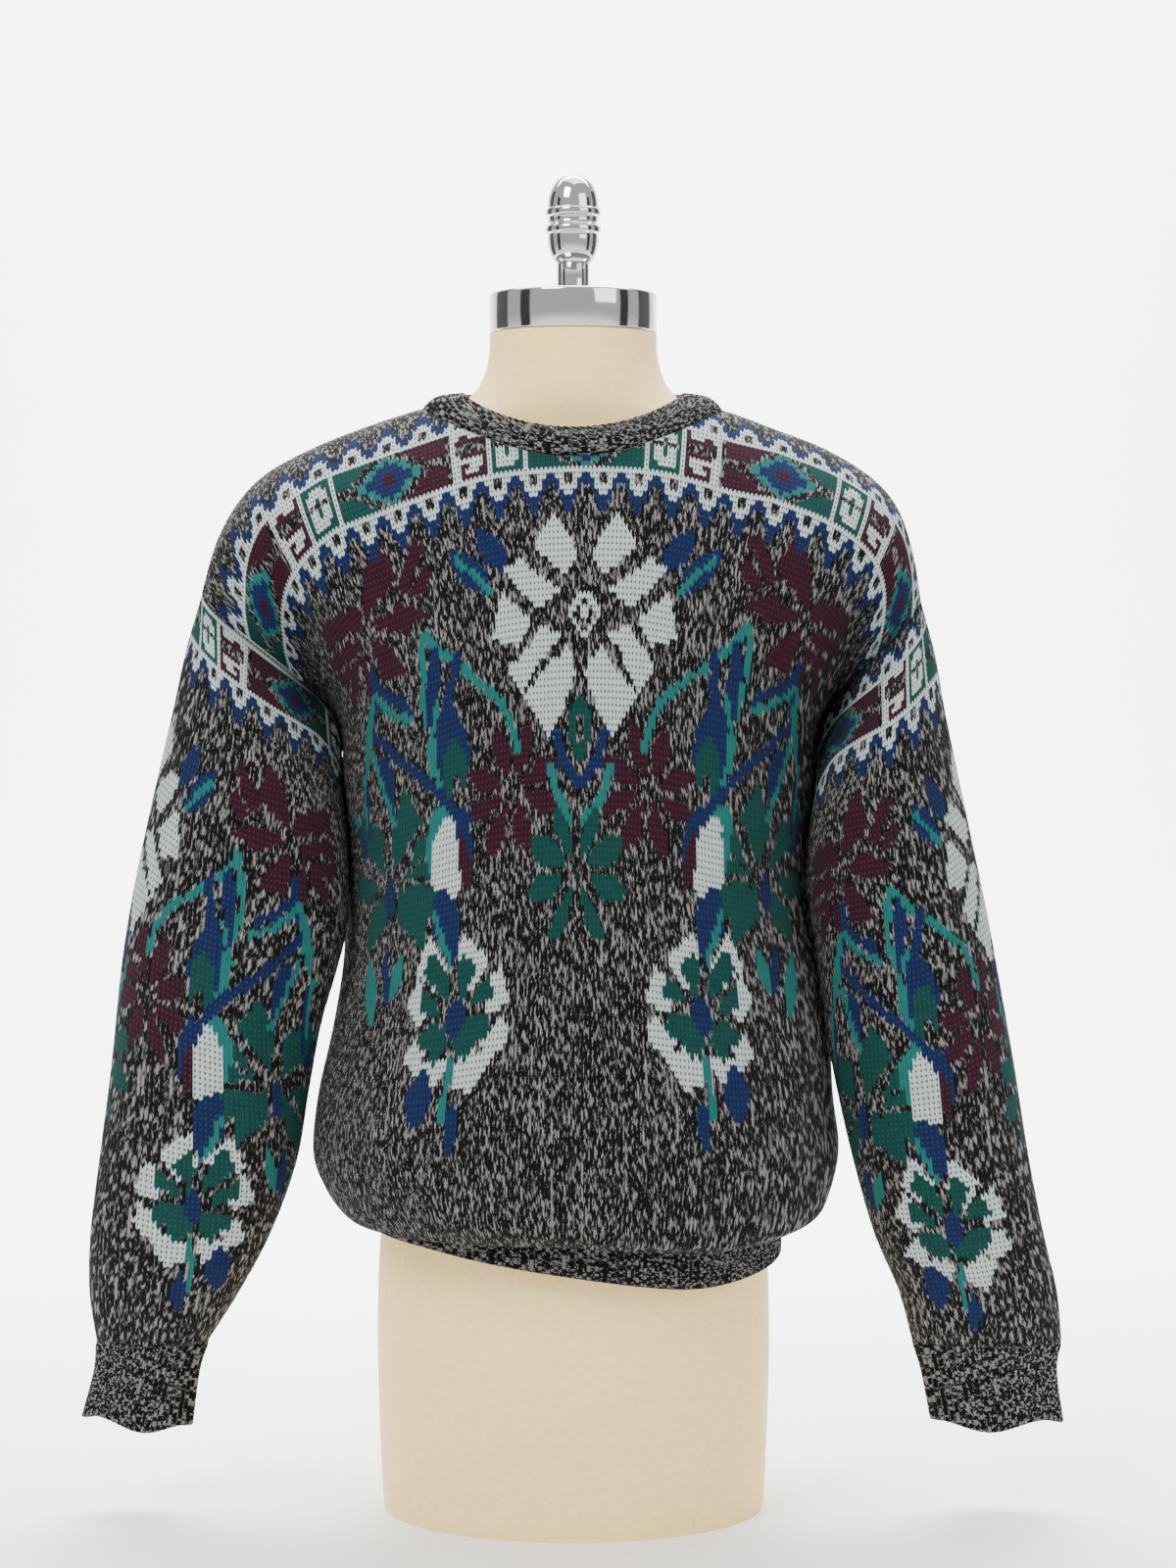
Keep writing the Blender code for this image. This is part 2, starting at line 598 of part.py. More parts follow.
def build_form(material):
    """Limbless torso of the dress form, closed and flat below, with the neck on top."""
    mesh = bmesh.new()
    turn = np.linspace(0.0, 2.0 * math.pi, FORM_SEGMENTS, endpoint=False)
    loops = []
    for ring in FORM_RINGS:
        depth = np.where(np.cos(turn) > 0.0, ring.front, ring.back)
        x, y = superellipse(turn, ring.half_width, depth, 2.0)
        loops.append([mesh.verts.new((a, b, ring.height)) for a, b in zip(x, y)])
    for lower, upper in zip(loops, loops[1:]):
        for index in range(FORM_SEGMENTS):
            after = (index + 1) % FORM_SEGMENTS
            mesh.faces.new([lower[index], lower[after], upper[after], upper[index]])
    mesh.faces.new(loops[0][::-1])
    mesh.faces.new(loops[-1])
    bmesh.ops.recalc_face_normals(mesh, faces=mesh.faces)
    return add_object("form_torso", mesh, material)


def turned(name, profile, segments, material):
    """Turned solid: a profile down its outer side at +X, with a Screw modifier about Z."""
    data = bpy.data.meshes.new(name)
    edges = [(index, index + 1) for index in range(len(profile) - 1)]
    data.from_pydata([(radius, 0.0, height) for radius, height in profile], edges, [])
    data.materials.append(material)
    thing = bpy.data.objects.new(name, data)
    MODEL.objects.link(thing)
    screw = thing.modifiers.new("turn", "SCREW")
    screw.axis = "Z"
    screw.steps = segments
    screw.render_steps = segments
    screw.use_merge_vertices = True
    screw.merge_threshold = 0.00001
    return thing


def cap_profile():
    """Neck cap: a flat disc with a rounded upper edge, just above the neck."""
    low = CAP_LOW
    corner = CAP_RADIUS - CAP_EDGE
    arc = [(corner + CAP_EDGE * math.sin(angle), CAP_TOP - CAP_EDGE + CAP_EDGE * math.cos(angle))
           for angle in (math.radians(degrees) for degrees in (0, 30, 60, 90))]
    return [(0.0, CAP_TOP)] + arc + [(CAP_RADIUS, low), (0.0, low)]


def finial_profile():
    """Stem and acorn knob in one turned piece, from its top down to the cap."""
    rise = FINIAL_TOP - DOME_LOW
    dome = [(GROOVE_RADIUS * math.cos(angle) ** 0.75, DOME_LOW + rise * math.sin(angle))
            for angle in (math.radians(degrees) for degrees in (64, 48, 32, 16, 0))]
    profile = [(0.0, FINIAL_TOP)] + dome
    for height in reversed(RING_HEIGHTS):
        profile += [(RING_RADIUS, height + RING_HALF * 0.6), (RING_RADIUS, height - RING_HALF * 0.6),
                    (GROOVE_RADIUS, height - RING_HALF)]
    fall = RING_HEIGHTS[0] - RING_HALF - BOWL_LOW
    for degrees in (20, 45, 68):
        angle = math.radians(degrees)
        radius = STEM_RADIUS + (GROOVE_RADIUS - STEM_RADIUS) * math.cos(angle)
        profile.append((radius, RING_HEIGHTS[0] - RING_HALF - fall * math.sin(angle)))
    return profile + [(STEM_RADIUS, BOWL_LOW - 0.001), (STEM_RADIUS, CAP_TOP + SEAM),
                      (0.0, CAP_TOP + SEAM)]


def main():
    """Clear the scene and build every sub-part."""
    for thing in list(bpy.data.objects):
        bpy.data.objects.remove(thing, do_unlink=True)
    bpy.context.scene.collection.children.link(MODEL)
    for side in ("front", "back"):
        build_panel(side, make_material("knit_" + side, (0.25, 0.24, 0.23), 0.9))
    for side, sign in (("left", -1.0), ("right", 1.0)):
        build_sleeve(side, sign, make_material("knit_sleeve_" + side, (0.24, 0.23, 0.22), 0.9))
        build_cuff(side, sign, make_material("rib_cuff_" + side, (0.16, 0.155, 0.15), 0.92))
    build_hem(make_material("rib_hem", (0.16, 0.155, 0.15), 0.92))
    build_neckband(make_material("rib_neck", (0.16, 0.155, 0.15), 0.92))
    build_form(make_material("form_linen", (0.80, 0.74, 0.62), 0.85))
    chrome = make_material("cap_chrome", (0.75, 0.75, 0.76), 0.12, 1.0)
    turned("neck_cap", cap_profile(), CAP_SEGMENTS, chrome)
    chrome = make_material("finial_chrome", (0.70, 0.70, 0.72), 0.10, 1.0)
    turned("finial", finial_profile(), FINIAL_SEGMENTS, chrome)


MODEL = bpy.data.collections.new("sweater_on_dress_form")
main()
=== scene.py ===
"""Dresses the knitted sweater and its form: stitched cloth, ribs, linen, chrome, floor, light and camera.

Metres, +Z up. The front of the garment faces -Y, and the form stands on z = 0. Each cloth piece
is a closed thin shell on the skin that its solid has, laid out stitch by stitch in rows and wales.
The yarns of the motifs come from a chart that plain formulas paint over the flat cloth, from
tables in millimetres.
"""
from __future__ import annotations

import logging
import math
from dataclasses import dataclass, field
from enum import Enum
from typing import NamedTuple

import bpy
import numpy as np
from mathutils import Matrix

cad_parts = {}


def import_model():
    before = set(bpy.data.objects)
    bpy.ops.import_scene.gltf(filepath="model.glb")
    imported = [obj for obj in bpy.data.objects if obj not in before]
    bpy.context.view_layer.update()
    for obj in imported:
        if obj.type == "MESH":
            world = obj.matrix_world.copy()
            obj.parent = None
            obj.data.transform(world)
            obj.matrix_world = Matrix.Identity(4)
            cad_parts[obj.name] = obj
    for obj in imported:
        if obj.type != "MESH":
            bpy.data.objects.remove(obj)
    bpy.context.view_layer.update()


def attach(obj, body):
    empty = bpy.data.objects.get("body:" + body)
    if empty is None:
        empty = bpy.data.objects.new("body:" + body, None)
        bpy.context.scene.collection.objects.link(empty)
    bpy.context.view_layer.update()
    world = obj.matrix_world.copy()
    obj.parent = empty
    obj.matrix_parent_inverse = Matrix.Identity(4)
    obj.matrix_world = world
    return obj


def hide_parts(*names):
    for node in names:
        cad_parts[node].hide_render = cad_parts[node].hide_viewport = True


LOG = logging.getLogger("sweater_on_form")
Colour = tuple[float, float, float]
MM = 1000.0               # millimetres in a metre

CLOTH = 0.0024            # thickness of the cloth
SEAM = 0.0003             # gap at a seam
PANEL_HALF = 0.325        # half width of a flat panel
NECK_HALF = 0.111         # half width of the neckline
UNDERARM = 0.57           # height of the underarm
PANEL_LENGTH = 0.68
STITCH_WIDTH = 2.0 * PANEL_HALF / 198
STITCH_HEIGHT = PANEL_LENGTH / 158
CREST = 0.6               # height of a stitch's crest, as a share of the groove's depth
TURN = 6.2832             # radians in a full turn, for the shaders' waves


class BodyRing(NamedTuple):
    """Level of the body: half widths to each side, depths to front and back, squareness."""

    height: float
    left: float
    right: float
    front: float
    back: float
    square: float


class SleeveRing(NamedTuple):
    """Station of a sleeve: its outer and inner point seen from the front, half depth and middle."""

    outer_x: float
    outer_z: float
    inner_x: float
    inner_z: float
    depth: float
    centre_y: float


class HemPoint(NamedTuple):
    """Turn round the body in degrees, height of the hem's free edge, overhang of the cloth above."""

    turn: float
    lower_edge: float
    overhang: float


class Crease(NamedTuple):
    """Valley along a line seen from the front or back, or along shares of a sleeve."""

    side: str
    top_x: float
    top_z: float
    foot_x: float
    foot_z: float
    depth: float
    width: float


class Yarn(Enum):
    """Yarns of the fabric, by their number in the chart."""

    GROUND = 0
    WHITE = 1
    BLUE = 2
    TURQUOISE = 3
    GREEN = 4
    BURGUNDY = 5


YARN_COLOURS: dict[Yarn, Colour] = {
    Yarn.GROUND: (0.10, 0.095, 0.09),
    Yarn.WHITE: (0.42, 0.48, 0.47),
    Yarn.BLUE: (0.003, 0.012, 0.058),
    Yarn.TURQUOISE: (0.007, 0.120, 0.110),
    Yarn.GREEN: (0.001, 0.042, 0.036),
    Yarn.BURGUNDY: (0.026, 0.003, 0.011),
}


def add(name: str, data: bpy.types.ID) -> bpy.types.Object:
    """Add an object with its data to the scene."""
    thing = bpy.data.objects.new(name, data)
    bpy.context.scene.collection.objects.link(thing)
    return thing


def superellipse(turn: np.ndarray, half_width: float, half_depth: np.ndarray | float,
                 square: float) -> tuple[np.ndarray, np.ndarray]:
    """Point on a rounded-square ring; turn 0 is the front and 90 degrees is +X.

    Args:
        turn: Angles in radians.
        half_width: Reach along X.
        half_depth: Reach along Y.
        square: Exponent, 2 for an ellipse.

    Returns:
        The x and y coordinates.
    """
    sine, cosine = np.sin(turn), np.cos(turn)
    x = half_width * np.sign(sine) * np.abs(sine) ** (2.0 / square)
    y = -half_depth * np.sign(cosine) * np.abs(cosine) ** (2.0 / square)
    return x, y


def spline(points: np.ndarray, samples: int) -> np.ndarray:
    """Smooth curve through control points on axis 0.

    Args:
        points: Control points, any shape after the first axis.
        samples: Samples for each span.

    Returns:
        The sampled curve, its last point included.
    """
    padded = np.concatenate([[2 * points[0] - points[1]], points, [2 * points[-1] - points[-2]]])
    step = (np.arange(samples) / samples).reshape((-1,) + (1,) * (points.ndim - 1))
    parts = []
    for p0, p1, p2, p3 in zip(padded, padded[1:], padded[2:], padded[3:]):
        parts.append(0.5 * (2 * p1 + (p2 - p0) * step
                            + (2 * p0 - 5 * p1 + 4 * p2 - p3) * step ** 2
                            + (3 * p1 - p0 - 3 * p2 + p3) * step ** 3))
    return np.concatenate(parts + [points[-1:]])


def resample(curves: np.ndarray, shares: np.ndarray) -> np.ndarray:
    """Read curves at shares of their own lengths.

    Args:
        curves: Points (samples, columns, 3).
        shares: Shares (rows, columns) from 0 to 1.

    Returns:
        Points (rows, columns, 3).
    """
    steps = np.linalg.norm(np.diff(curves, axis=0), axis=2)
    result = np.zeros(shares.shape + (3,))
    for column in range(curves.shape[1]):
        length = np.concatenate([[0.0], np.cumsum(steps[:, column])])
        for axis in range(3):
            result[:, column, axis] = np.interp(shares[:, column] * length[-1], length,
                                                curves[:, column, axis])
    return result


def unit(vectors: np.ndarray) -> np.ndarray:
    """Vectors on the last axis at length one."""
    return vectors / np.maximum(np.linalg.norm(vectors, axis=-1, keepdims=True), 1e-12)


def grid_normals(points: np.ndarray, closed: bool) -> np.ndarray:
    """Normals of a grid (rows, columns, 3), from its neighbours both ways.

    Args:
        points: The grid.
        closed: Whether the last column meets the first.

    Returns:
        Unit normals of the same shape.
    """
    if closed:
        across = np.roll(points, -1, axis=1) - np.roll(points, 1, axis=1)
    else:
        across = np.gradient(points, axis=1)
    return unit(np.cross(across, np.gradient(points, axis=0)))


def press(points: np.ndarray, creases: tuple[Crease, ...], side: str) -> np.ndarray:
    """Push a skin in along each crease of that side, seen from the front.

    Args:
        points: Points of the skin.
        creases: All creases.
        side: Which of them apply.

    Returns:
        The pressed points.
    """
    result = points.copy()
    inward = 1.0 if side == "front" else -1.0
    for crease in creases:
        if crease.side != side:
            continue
        top = np.array([crease.top_x, crease.top_z])
        along = np.array([crease.foot_x, crease.foot_z]) - top
        offset = points[..., [0, 2]] - top
        part = np.clip(offset @ along / (along @ along), 0.0, 1.0)
        away = np.linalg.norm(offset - part[..., None] * along, axis=-1)
        strength = np.minimum(1.0, 0.15 + 2.2 * part) * np.exp(-(away / crease.width) ** 2)
        result[..., 1] += inward * np.minimum(crease.depth * strength, 0.6 * np.abs(points[..., 1]))
    return result


@dataclass
class Skin:
    """Outer skin of a cloth piece: columns of evenly spaced points with their outward normals."""

    points: np.ndarray
    normals: np.ndarray

    def read(self, field_values: np.ndarray, along: np.ndarray, around: np.ndarray) -> np.ndarray:
        """Read a field between its samples.

        Args:
            field_values: Values (samples, columns, 3).
            along: Shares of the length.
            around: Shares of the width.

        Returns:
            Values in the shape of the shares.
        """
        rows, columns = field_values.shape[:2]
        a = np.clip(along, 0.0, 1.0) * (rows - 1)
        b = np.clip(around, 0.0, 1.0) * (columns - 1)
        a0 = np.minimum(a.astype(int), rows - 2)
        b0 = np.minimum(b.astype(int), columns - 2)
        fa = (a - a0)[..., None]
        fb = (b - b0)[..., None]
        low = field_values[a0, b0] * (1 - fb) + field_values[a0, b0 + 1] * fb
        high = field_values[a0 + 1, b0] * (1 - fb) + field_values[a0 + 1, b0 + 1] * fb
        return low * (1 - fa) + high * fa

    def at(self, along: np.ndarray, around: np.ndarray) -> tuple[np.ndarray, np.ndarray]:
        """Points and unit normals at shares of the skin's length and width."""
        return self.read(self.points, along, around), unit(self.read(self.normals, along, around))


@dataclass
class BodyShape:
    """Shape of the front and the back: rings below the underarm, then a yoke up to the shoulder ridge."""

    rings: tuple[BodyRing, ...] = (
        BodyRing(0.570, 0.1695, 0.1790, 0.140, 0.146, 2.4),
        BodyRing(0.520, 0.1685, 0.1765, 0.148, 0.151, 2.3),
        BodyRing(0.470, 0.1675, 0.1745, 0.155, 0.152, 2.3),
        BodyRing(0.410, 0.1685, 0.1815, 0.163, 0.156, 2.35),
        BodyRing(0.360, 0.1760, 0.1875, 0.169, 0.160, 2.4),
        BodyRing(0.310, 0.1870, 0.1905, 0.173, 0.163, 2.5),
        BodyRing(0.268, 0.191, 0.195, 0.173, 0.163, 2.4),
    )
    hem_ring: BodyRing = BodyRing(0.0, 0.150, 0.153, 0.136, 0.130, 2.3)
    hem_height: float = 0.050
    hem_points: tuple[HemPoint, ...] = (
        HemPoint(-180.0, 0.196, 0.030),
        HemPoint(-120.0, 0.198, 0.034),
        HemPoint(-80.0, 0.216, 0.044),
        HemPoint(-45.0, 0.214, 0.044),
        HemPoint(0.0, 0.197, 0.026),
        HemPoint(35.0, 0.184, 0.022),
        HemPoint(80.0, 0.194, 0.026),
        HemPoint(120.0, 0.196, 0.030),
        HemPoint(180.0, 0.196, 0.030),
    )
    # outward reach and share of the overhang, from the seam with the hem band up
    bag: tuple[tuple[float, float], ...] = ((0.0000, 0.00), (0.0060, 0.55), (0.0095, 0.88),
                                            (0.0150, 1.00), (0.0230, 0.86), (0.0330, 0.50))
    # distance from the middle, then x and z of the ridge on the left and on the right
    ridge_points: tuple[tuple[float, float, float, float, float], ...] = (
        (0.000, 0.0000, 0.8300, 0.0000, 0.8300),
        (0.060, 0.0605, 0.8240, 0.0600, 0.8235),
        (0.111, 0.1110, 0.8100, 0.1100, 0.8090),
        (0.150, 0.1485, 0.7980, 0.1470, 0.7955),
        (0.190, 0.1860, 0.7835, 0.1840, 0.7810),
        (0.230, 0.2215, 0.7650, 0.2170, 0.7610),
        (0.260, 0.2425, 0.7450, 0.2355, 0.7400),
        (0.290, 0.2575, 0.7190, 0.2450, 0.7130),
        (0.325, 0.2680, 0.6850, 0.2510, 0.6800),
    )
    round_front: float = 2.05
    round_back: float = 3.4
    arm_bulge: float = 0.062
    neckline: dict[str, float] = field(default_factory=lambda: {"front": 0.090, "back": 0.092})
    folds: tuple[Crease, ...] = (
        Crease("front", -0.205, 0.700, -0.176, 0.570, 0.024, 0.014),
        Crease("front", 0.205, 0.680, 0.186, 0.570, 0.022, 0.014),
        Crease("back", -0.202, 0.705, -0.176, 0.570, 0.018, 0.017),
        Crease("back", 0.202, 0.690, 0.186, 0.570, 0.018, 0.017),
    )
    creases: tuple[Crease, ...] = (
        Crease("front", -0.186, 0.560, -0.158, 0.400, 0.0060, 0.011),
        Crease("front", -0.150, 0.470, -0.120, 0.330, 0.0035, 0.016),
        Crease("front", 0.180, 0.560, 0.163, 0.420, 0.0060, 0.012),
        Crease("front", 0.150, 0.470, 0.132, 0.340, 0.0035, 0.016),
        Crease("front", -0.120, 0.300, -0.070, 0.255, 0.0040, 0.012),
        Crease("front", -0.030, 0.290, 0.020, 0.245, 0.0035, 0.012),
        Crease("front", 0.080, 0.290, 0.115, 0.240, 0.0040, 0.012),
        Crease("front", 0.148, 0.320, 0.168, 0.260, 0.0035, 0.012),
        Crease("front", -0.168, 0.330, -0.150, 0.270, 0.0040, 0.012),
        Crease("back", -0.160, 0.560, -0.130, 0.400, 0.0060, 0.014),
        Crease("back", 0.165, 0.560, 0.140, 0.410, 0.0060, 0.014),
        Crease("back", -0.090, 0.310, -0.050, 0.250, 0.0040, 0.012),
        Crease("back", 0.010, 0.300, 0.045, 0.250, 0.0035, 0.012),
        Crease("back", 0.100, 0.310, 0.140, 0.250, 0.0040, 0.012),
    )

    def half_ring(self, ring: BodyRing, side: str, share: np.ndarray) -> np.ndarray:
        """Points at arc-length shares of the front or back half of a ring.

        Args:
            ring: The level.
            side: Front or back.
            share: From -1 at the left seam to 1 at the right one.

        Returns:
            x and y of each point.
        """
        depth = ring.front if side == "front" else ring.back
        turns = np.linspace(0.0, math.pi / 2, 241)
        result = np.zeros(share.shape + (2,))
        for sign, width in ((-1.0, ring.left), (1.0, ring.right)):
            x, y = superellipse(turns, width, depth, ring.square)
            length = np.concatenate([[0.0], np.cumsum(np.hypot(np.diff(x), np.diff(y)))])
            chosen = share * sign >= 0.0
            reach = np.abs(share[chosen]) * length[-1]
            result[chosen, 0] = sign * np.interp(reach, length, x)
            result[chosen, 1] = np.interp(reach, length, y)
        if side == "back":
            result[..., 1] *= -1.0
        return result

    def hem_levels(self, share: np.ndarray, side: str) -> tuple[np.ndarray, np.ndarray]:
        """Height of the hem's free edge and the overhang above it.

        Args:
            share: Places across the panel.
            side: Front or back.

        Returns:
            Heights and overhangs.
        """
        table = np.array(self.hem_points)
        turn = share * 90.0
        if side == "back":
            turn = np.where(share >= 0.0, 180.0 - turn, -180.0 - turn)
        fine = np.linspace(-180.0, 180.0, 361)
        window = np.hanning(41)
        window = window / window.sum()
        smooth = []
        for column in (1, 2):
            line = np.interp(fine, table[:, 0], table[:, column])
            line = np.concatenate([line[-41:-1], line, line[1:41]])
            smooth.append(np.convolve(line, window, mode="same")[40:-40])
        return np.interp(turn, fine, smooth[0]), np.interp(turn, fine, smooth[1])

    def ridge(self, flat_x: np.ndarray) -> np.ndarray:
        """Shoulder ridge (x, z) over the flat distance from the middle, for either side."""
        fine = spline(np.array(self.ridge_points), 12)
        distance = np.abs(flat_x)
        read = [np.interp(distance, fine[:, 0], fine[:, column]) for column in (1, 2, 3, 4)]
        left = np.stack([-read[0], read[1]], axis=-1)
        right = np.stack([read[2], read[3]], axis=-1)
        return np.where((flat_x < 0.0)[..., None], left, right)

    def lower(self, share: np.ndarray, side: str) -> np.ndarray:
        """Column curves from the hem band, round the bag, up to the underarm level."""
        low, hang = self.hem_levels(share, side)
        top = low + self.hem_height
        stations = []
        base = self.hem_ring
        for outward, drop in self.bag:
            ring = base._replace(left=base.left + outward, right=base.right + outward,
                                 front=base.front + outward, back=base.back + outward)
            plan = self.half_ring(ring, side, share)
            stations.append(np.concatenate([plan, (top - hang * drop)[:, None]], axis=1))
        for ring in reversed(self.rings):
            plan = self.half_ring(ring, side, share)
            level = np.full((len(share), 1), ring.height)
            stations.append(np.concatenate([plan, level], axis=1))
        above = stations[-1].copy()
        above[:, 2] += 0.03
        return spline(np.array(stations + [above]), 14)[:-14]

    def yoke(self, share: np.ndarray, side: str) -> np.ndarray:
        """Column curves from the underarm level over the chest or back up to the ridge."""
        square = self.round_front if side == "front" else self.round_back
        foot = self.half_ring(self.rings[0], side, share)
        top = self.ridge(share * PANEL_HALF)
        rise = np.linspace(0.0, 1.0, 121)[1:, None]
        outer = np.clip((np.abs(share) - 0.35) / 0.65, 0.0, 1.0)
        edge = outer * outer * (3.0 - 2.0 * outer)
        power = 2.0 / (square + (1.75 - square) * edge)
        climb = np.sin(rise * math.pi / 2) ** power
        fall = np.cos(rise * math.pi / 2) ** (2.0 / square)
        bulge = self.arm_bulge * edge * np.sin(rise * math.pi) ** 1.3
        early = np.minimum(1.0, 1.3 * rise)
        spread = early ** 2 * (3.0 - 2.0 * early)
        x = foot[:, 0] + (top[:, 0] - foot[:, 0]) * spread
        y = foot[:, 1] * fall + (-bulge if side == "front" else bulge)
        z = UNDERARM + (top[:, 1] - UNDERARM) * climb
        return np.stack([x, y, z], axis=-1)

    def skin(self, side: str, columns: int, samples: int = 421) -> tuple[Skin, np.ndarray]:
        """Outer skin of a panel, from the hem seam to the shoulder.

        Args:
            side: Front or back.
            columns: Number of columns across the panel.
            samples: Points in each column.

        Returns:
            The skin, and for each column the share of its length at which the panel ends.
        """
        share = np.linspace(-1.0, 1.0, columns)
        curve = np.concatenate([self.lower(share, side), self.yoke(share, side)])
        curve = press(curve, self.folds, side)
        rows = np.repeat(np.linspace(0.0, 1.0, samples)[:, None], columns, axis=1)
        points = resample(curve, rows)
        ends = np.ones(columns)
        reach = self.neckline[side]
        for column, flat_x in enumerate(share * PANEL_HALF):
            if abs(flat_x) < NECK_HALF:
                stop = reach * math.sqrt(1.0 - (flat_x / NECK_HALF) ** 2)
                upper = slice(samples - 110, None)
                ends[column] = np.interp(-stop, -np.abs(points[upper, column, 1]),
                                         rows[upper, column])
        points = press(points, self.creases, side)
        normals = grid_normals(points, closed=False)
        return Skin(points, normals if side == "front" else -normals), ends

    def armhole(self, sign: float, samples: int) -> np.ndarray:
        """Armhole seam from the underarm up the front and down the back.

        Args:
            sign: -1 for the left sleeve, 1 for the right one.
            samples: Points on the loop.

        Returns:
            The open loop of points.
        """
        share = np.array([sign, sign])
        halves = []
        for side in ("front", "back"):
            start = self.lower(share, side)[-1:]
            curve = press(np.concatenate([start, self.yoke(share, side)]), self.folds, side)[:, :1]
            halves.append(resample(curve, np.linspace(0.0, 1.0, 41)[:, None])[:, 0])
        halves[0][0, 1] = halves[1][0, 1] = 0.0
        halves[0][-1, 1] = halves[1][-1, 1] = 0.0
        loop = np.concatenate([halves[0], halves[1][::-1][1:]])
        return resample(loop[:, None, :], np.linspace(0.0, 1.0, samples)[:, None])[:, 0]


@dataclass
class SleeveShape:
    """Shape of one sleeve and its cuff, hanging from the armhole."""

    side: str
    sign: float
    rings: tuple[SleeveRing, ...]
    cuff_rings: tuple[SleeveRing, ...]
    creases: tuple[tuple[float, float, float, float, float, float], ...]

    def ring(self, ring: SleeveRing, samples: int) -> np.ndarray:
        """Closed ellipse between the outer and the inner point, from the inner side, front first.

        Args:
            ring: The station.
            samples: Points, the first one again at the end.

        Returns:
            The points.
        """
        turn = np.linspace(0.0, 2.0 * math.pi, 721)
        outer = np.array([self.sign * ring.outer_x, ring.outer_z])
        inner = np.array([self.sign * ring.inner_x, ring.inner_z])
        middle, reach = (outer + inner) / 2, (inner - outer) / 2
        curve = np.stack([middle[0] + reach[0] * np.cos(turn),
                          ring.centre_y - ring.depth * np.sin(turn),
                          middle[1] + reach[1] * np.cos(turn)], axis=1)
        return resample(curve[:, None, :], np.linspace(0.0, 1.0, samples)[:, None])[:, 0]

    def skin(self, body: BodyShape, columns: int = 321, samples: int = 301) -> Skin:
        """Outer skin of the sleeve from the armhole to the cuff seam, starting under the arm.

        Args:
            body: The body that the sleeve hangs from.
            columns: Columns round the sleeve.
            samples: Points in each column.

        Returns:
            The skin.
        """
        stations = [body.armhole(self.sign, columns)]
        stations += [self.ring(ring, columns) for ring in self.rings]
        curves = spline(np.array(stations), 12)
        rows = np.repeat(np.linspace(0.0, 1.0, samples)[:, None], columns, axis=1)
        points = resample(curves, rows)
        normals = self.outward(points)
        along = np.linspace(0.0, 1.0, samples)[:, None]
        around = np.linspace(0.0, 1.0, columns)[None, :]
        for start, start_turn, end, end_turn, depth, width in self.creases:
            part = np.clip((along - start) / (end - start), 0.0, 1.0)
            line = start_turn + (end_turn - start_turn) * part
            away = np.hypot((around - line) * 0.42, (along - (start + (end - start) * part)) * 0.5)
            ease = np.sin(math.pi * np.clip(part * 0.8 + 0.1, 0.0, 1.0))
            points = points - normals * (depth * ease * np.exp(-(away / width) ** 2))[..., None]
        points[-1] = curves[-1]
        return Skin(points, self.outward(points))

    @staticmethod
    def outward(points: np.ndarray) -> np.ndarray:
        """Normals of a tube whose last column lies on its first, turned outward."""
        normals = grid_normals(points[:, :-1], closed=True)
        normals = np.concatenate([normals, normals[:, :1]], axis=1)
        if np.sum(normals * (points - points.mean(axis=1, keepdims=True))) < 0.0:
            normals = -normals
        return normals


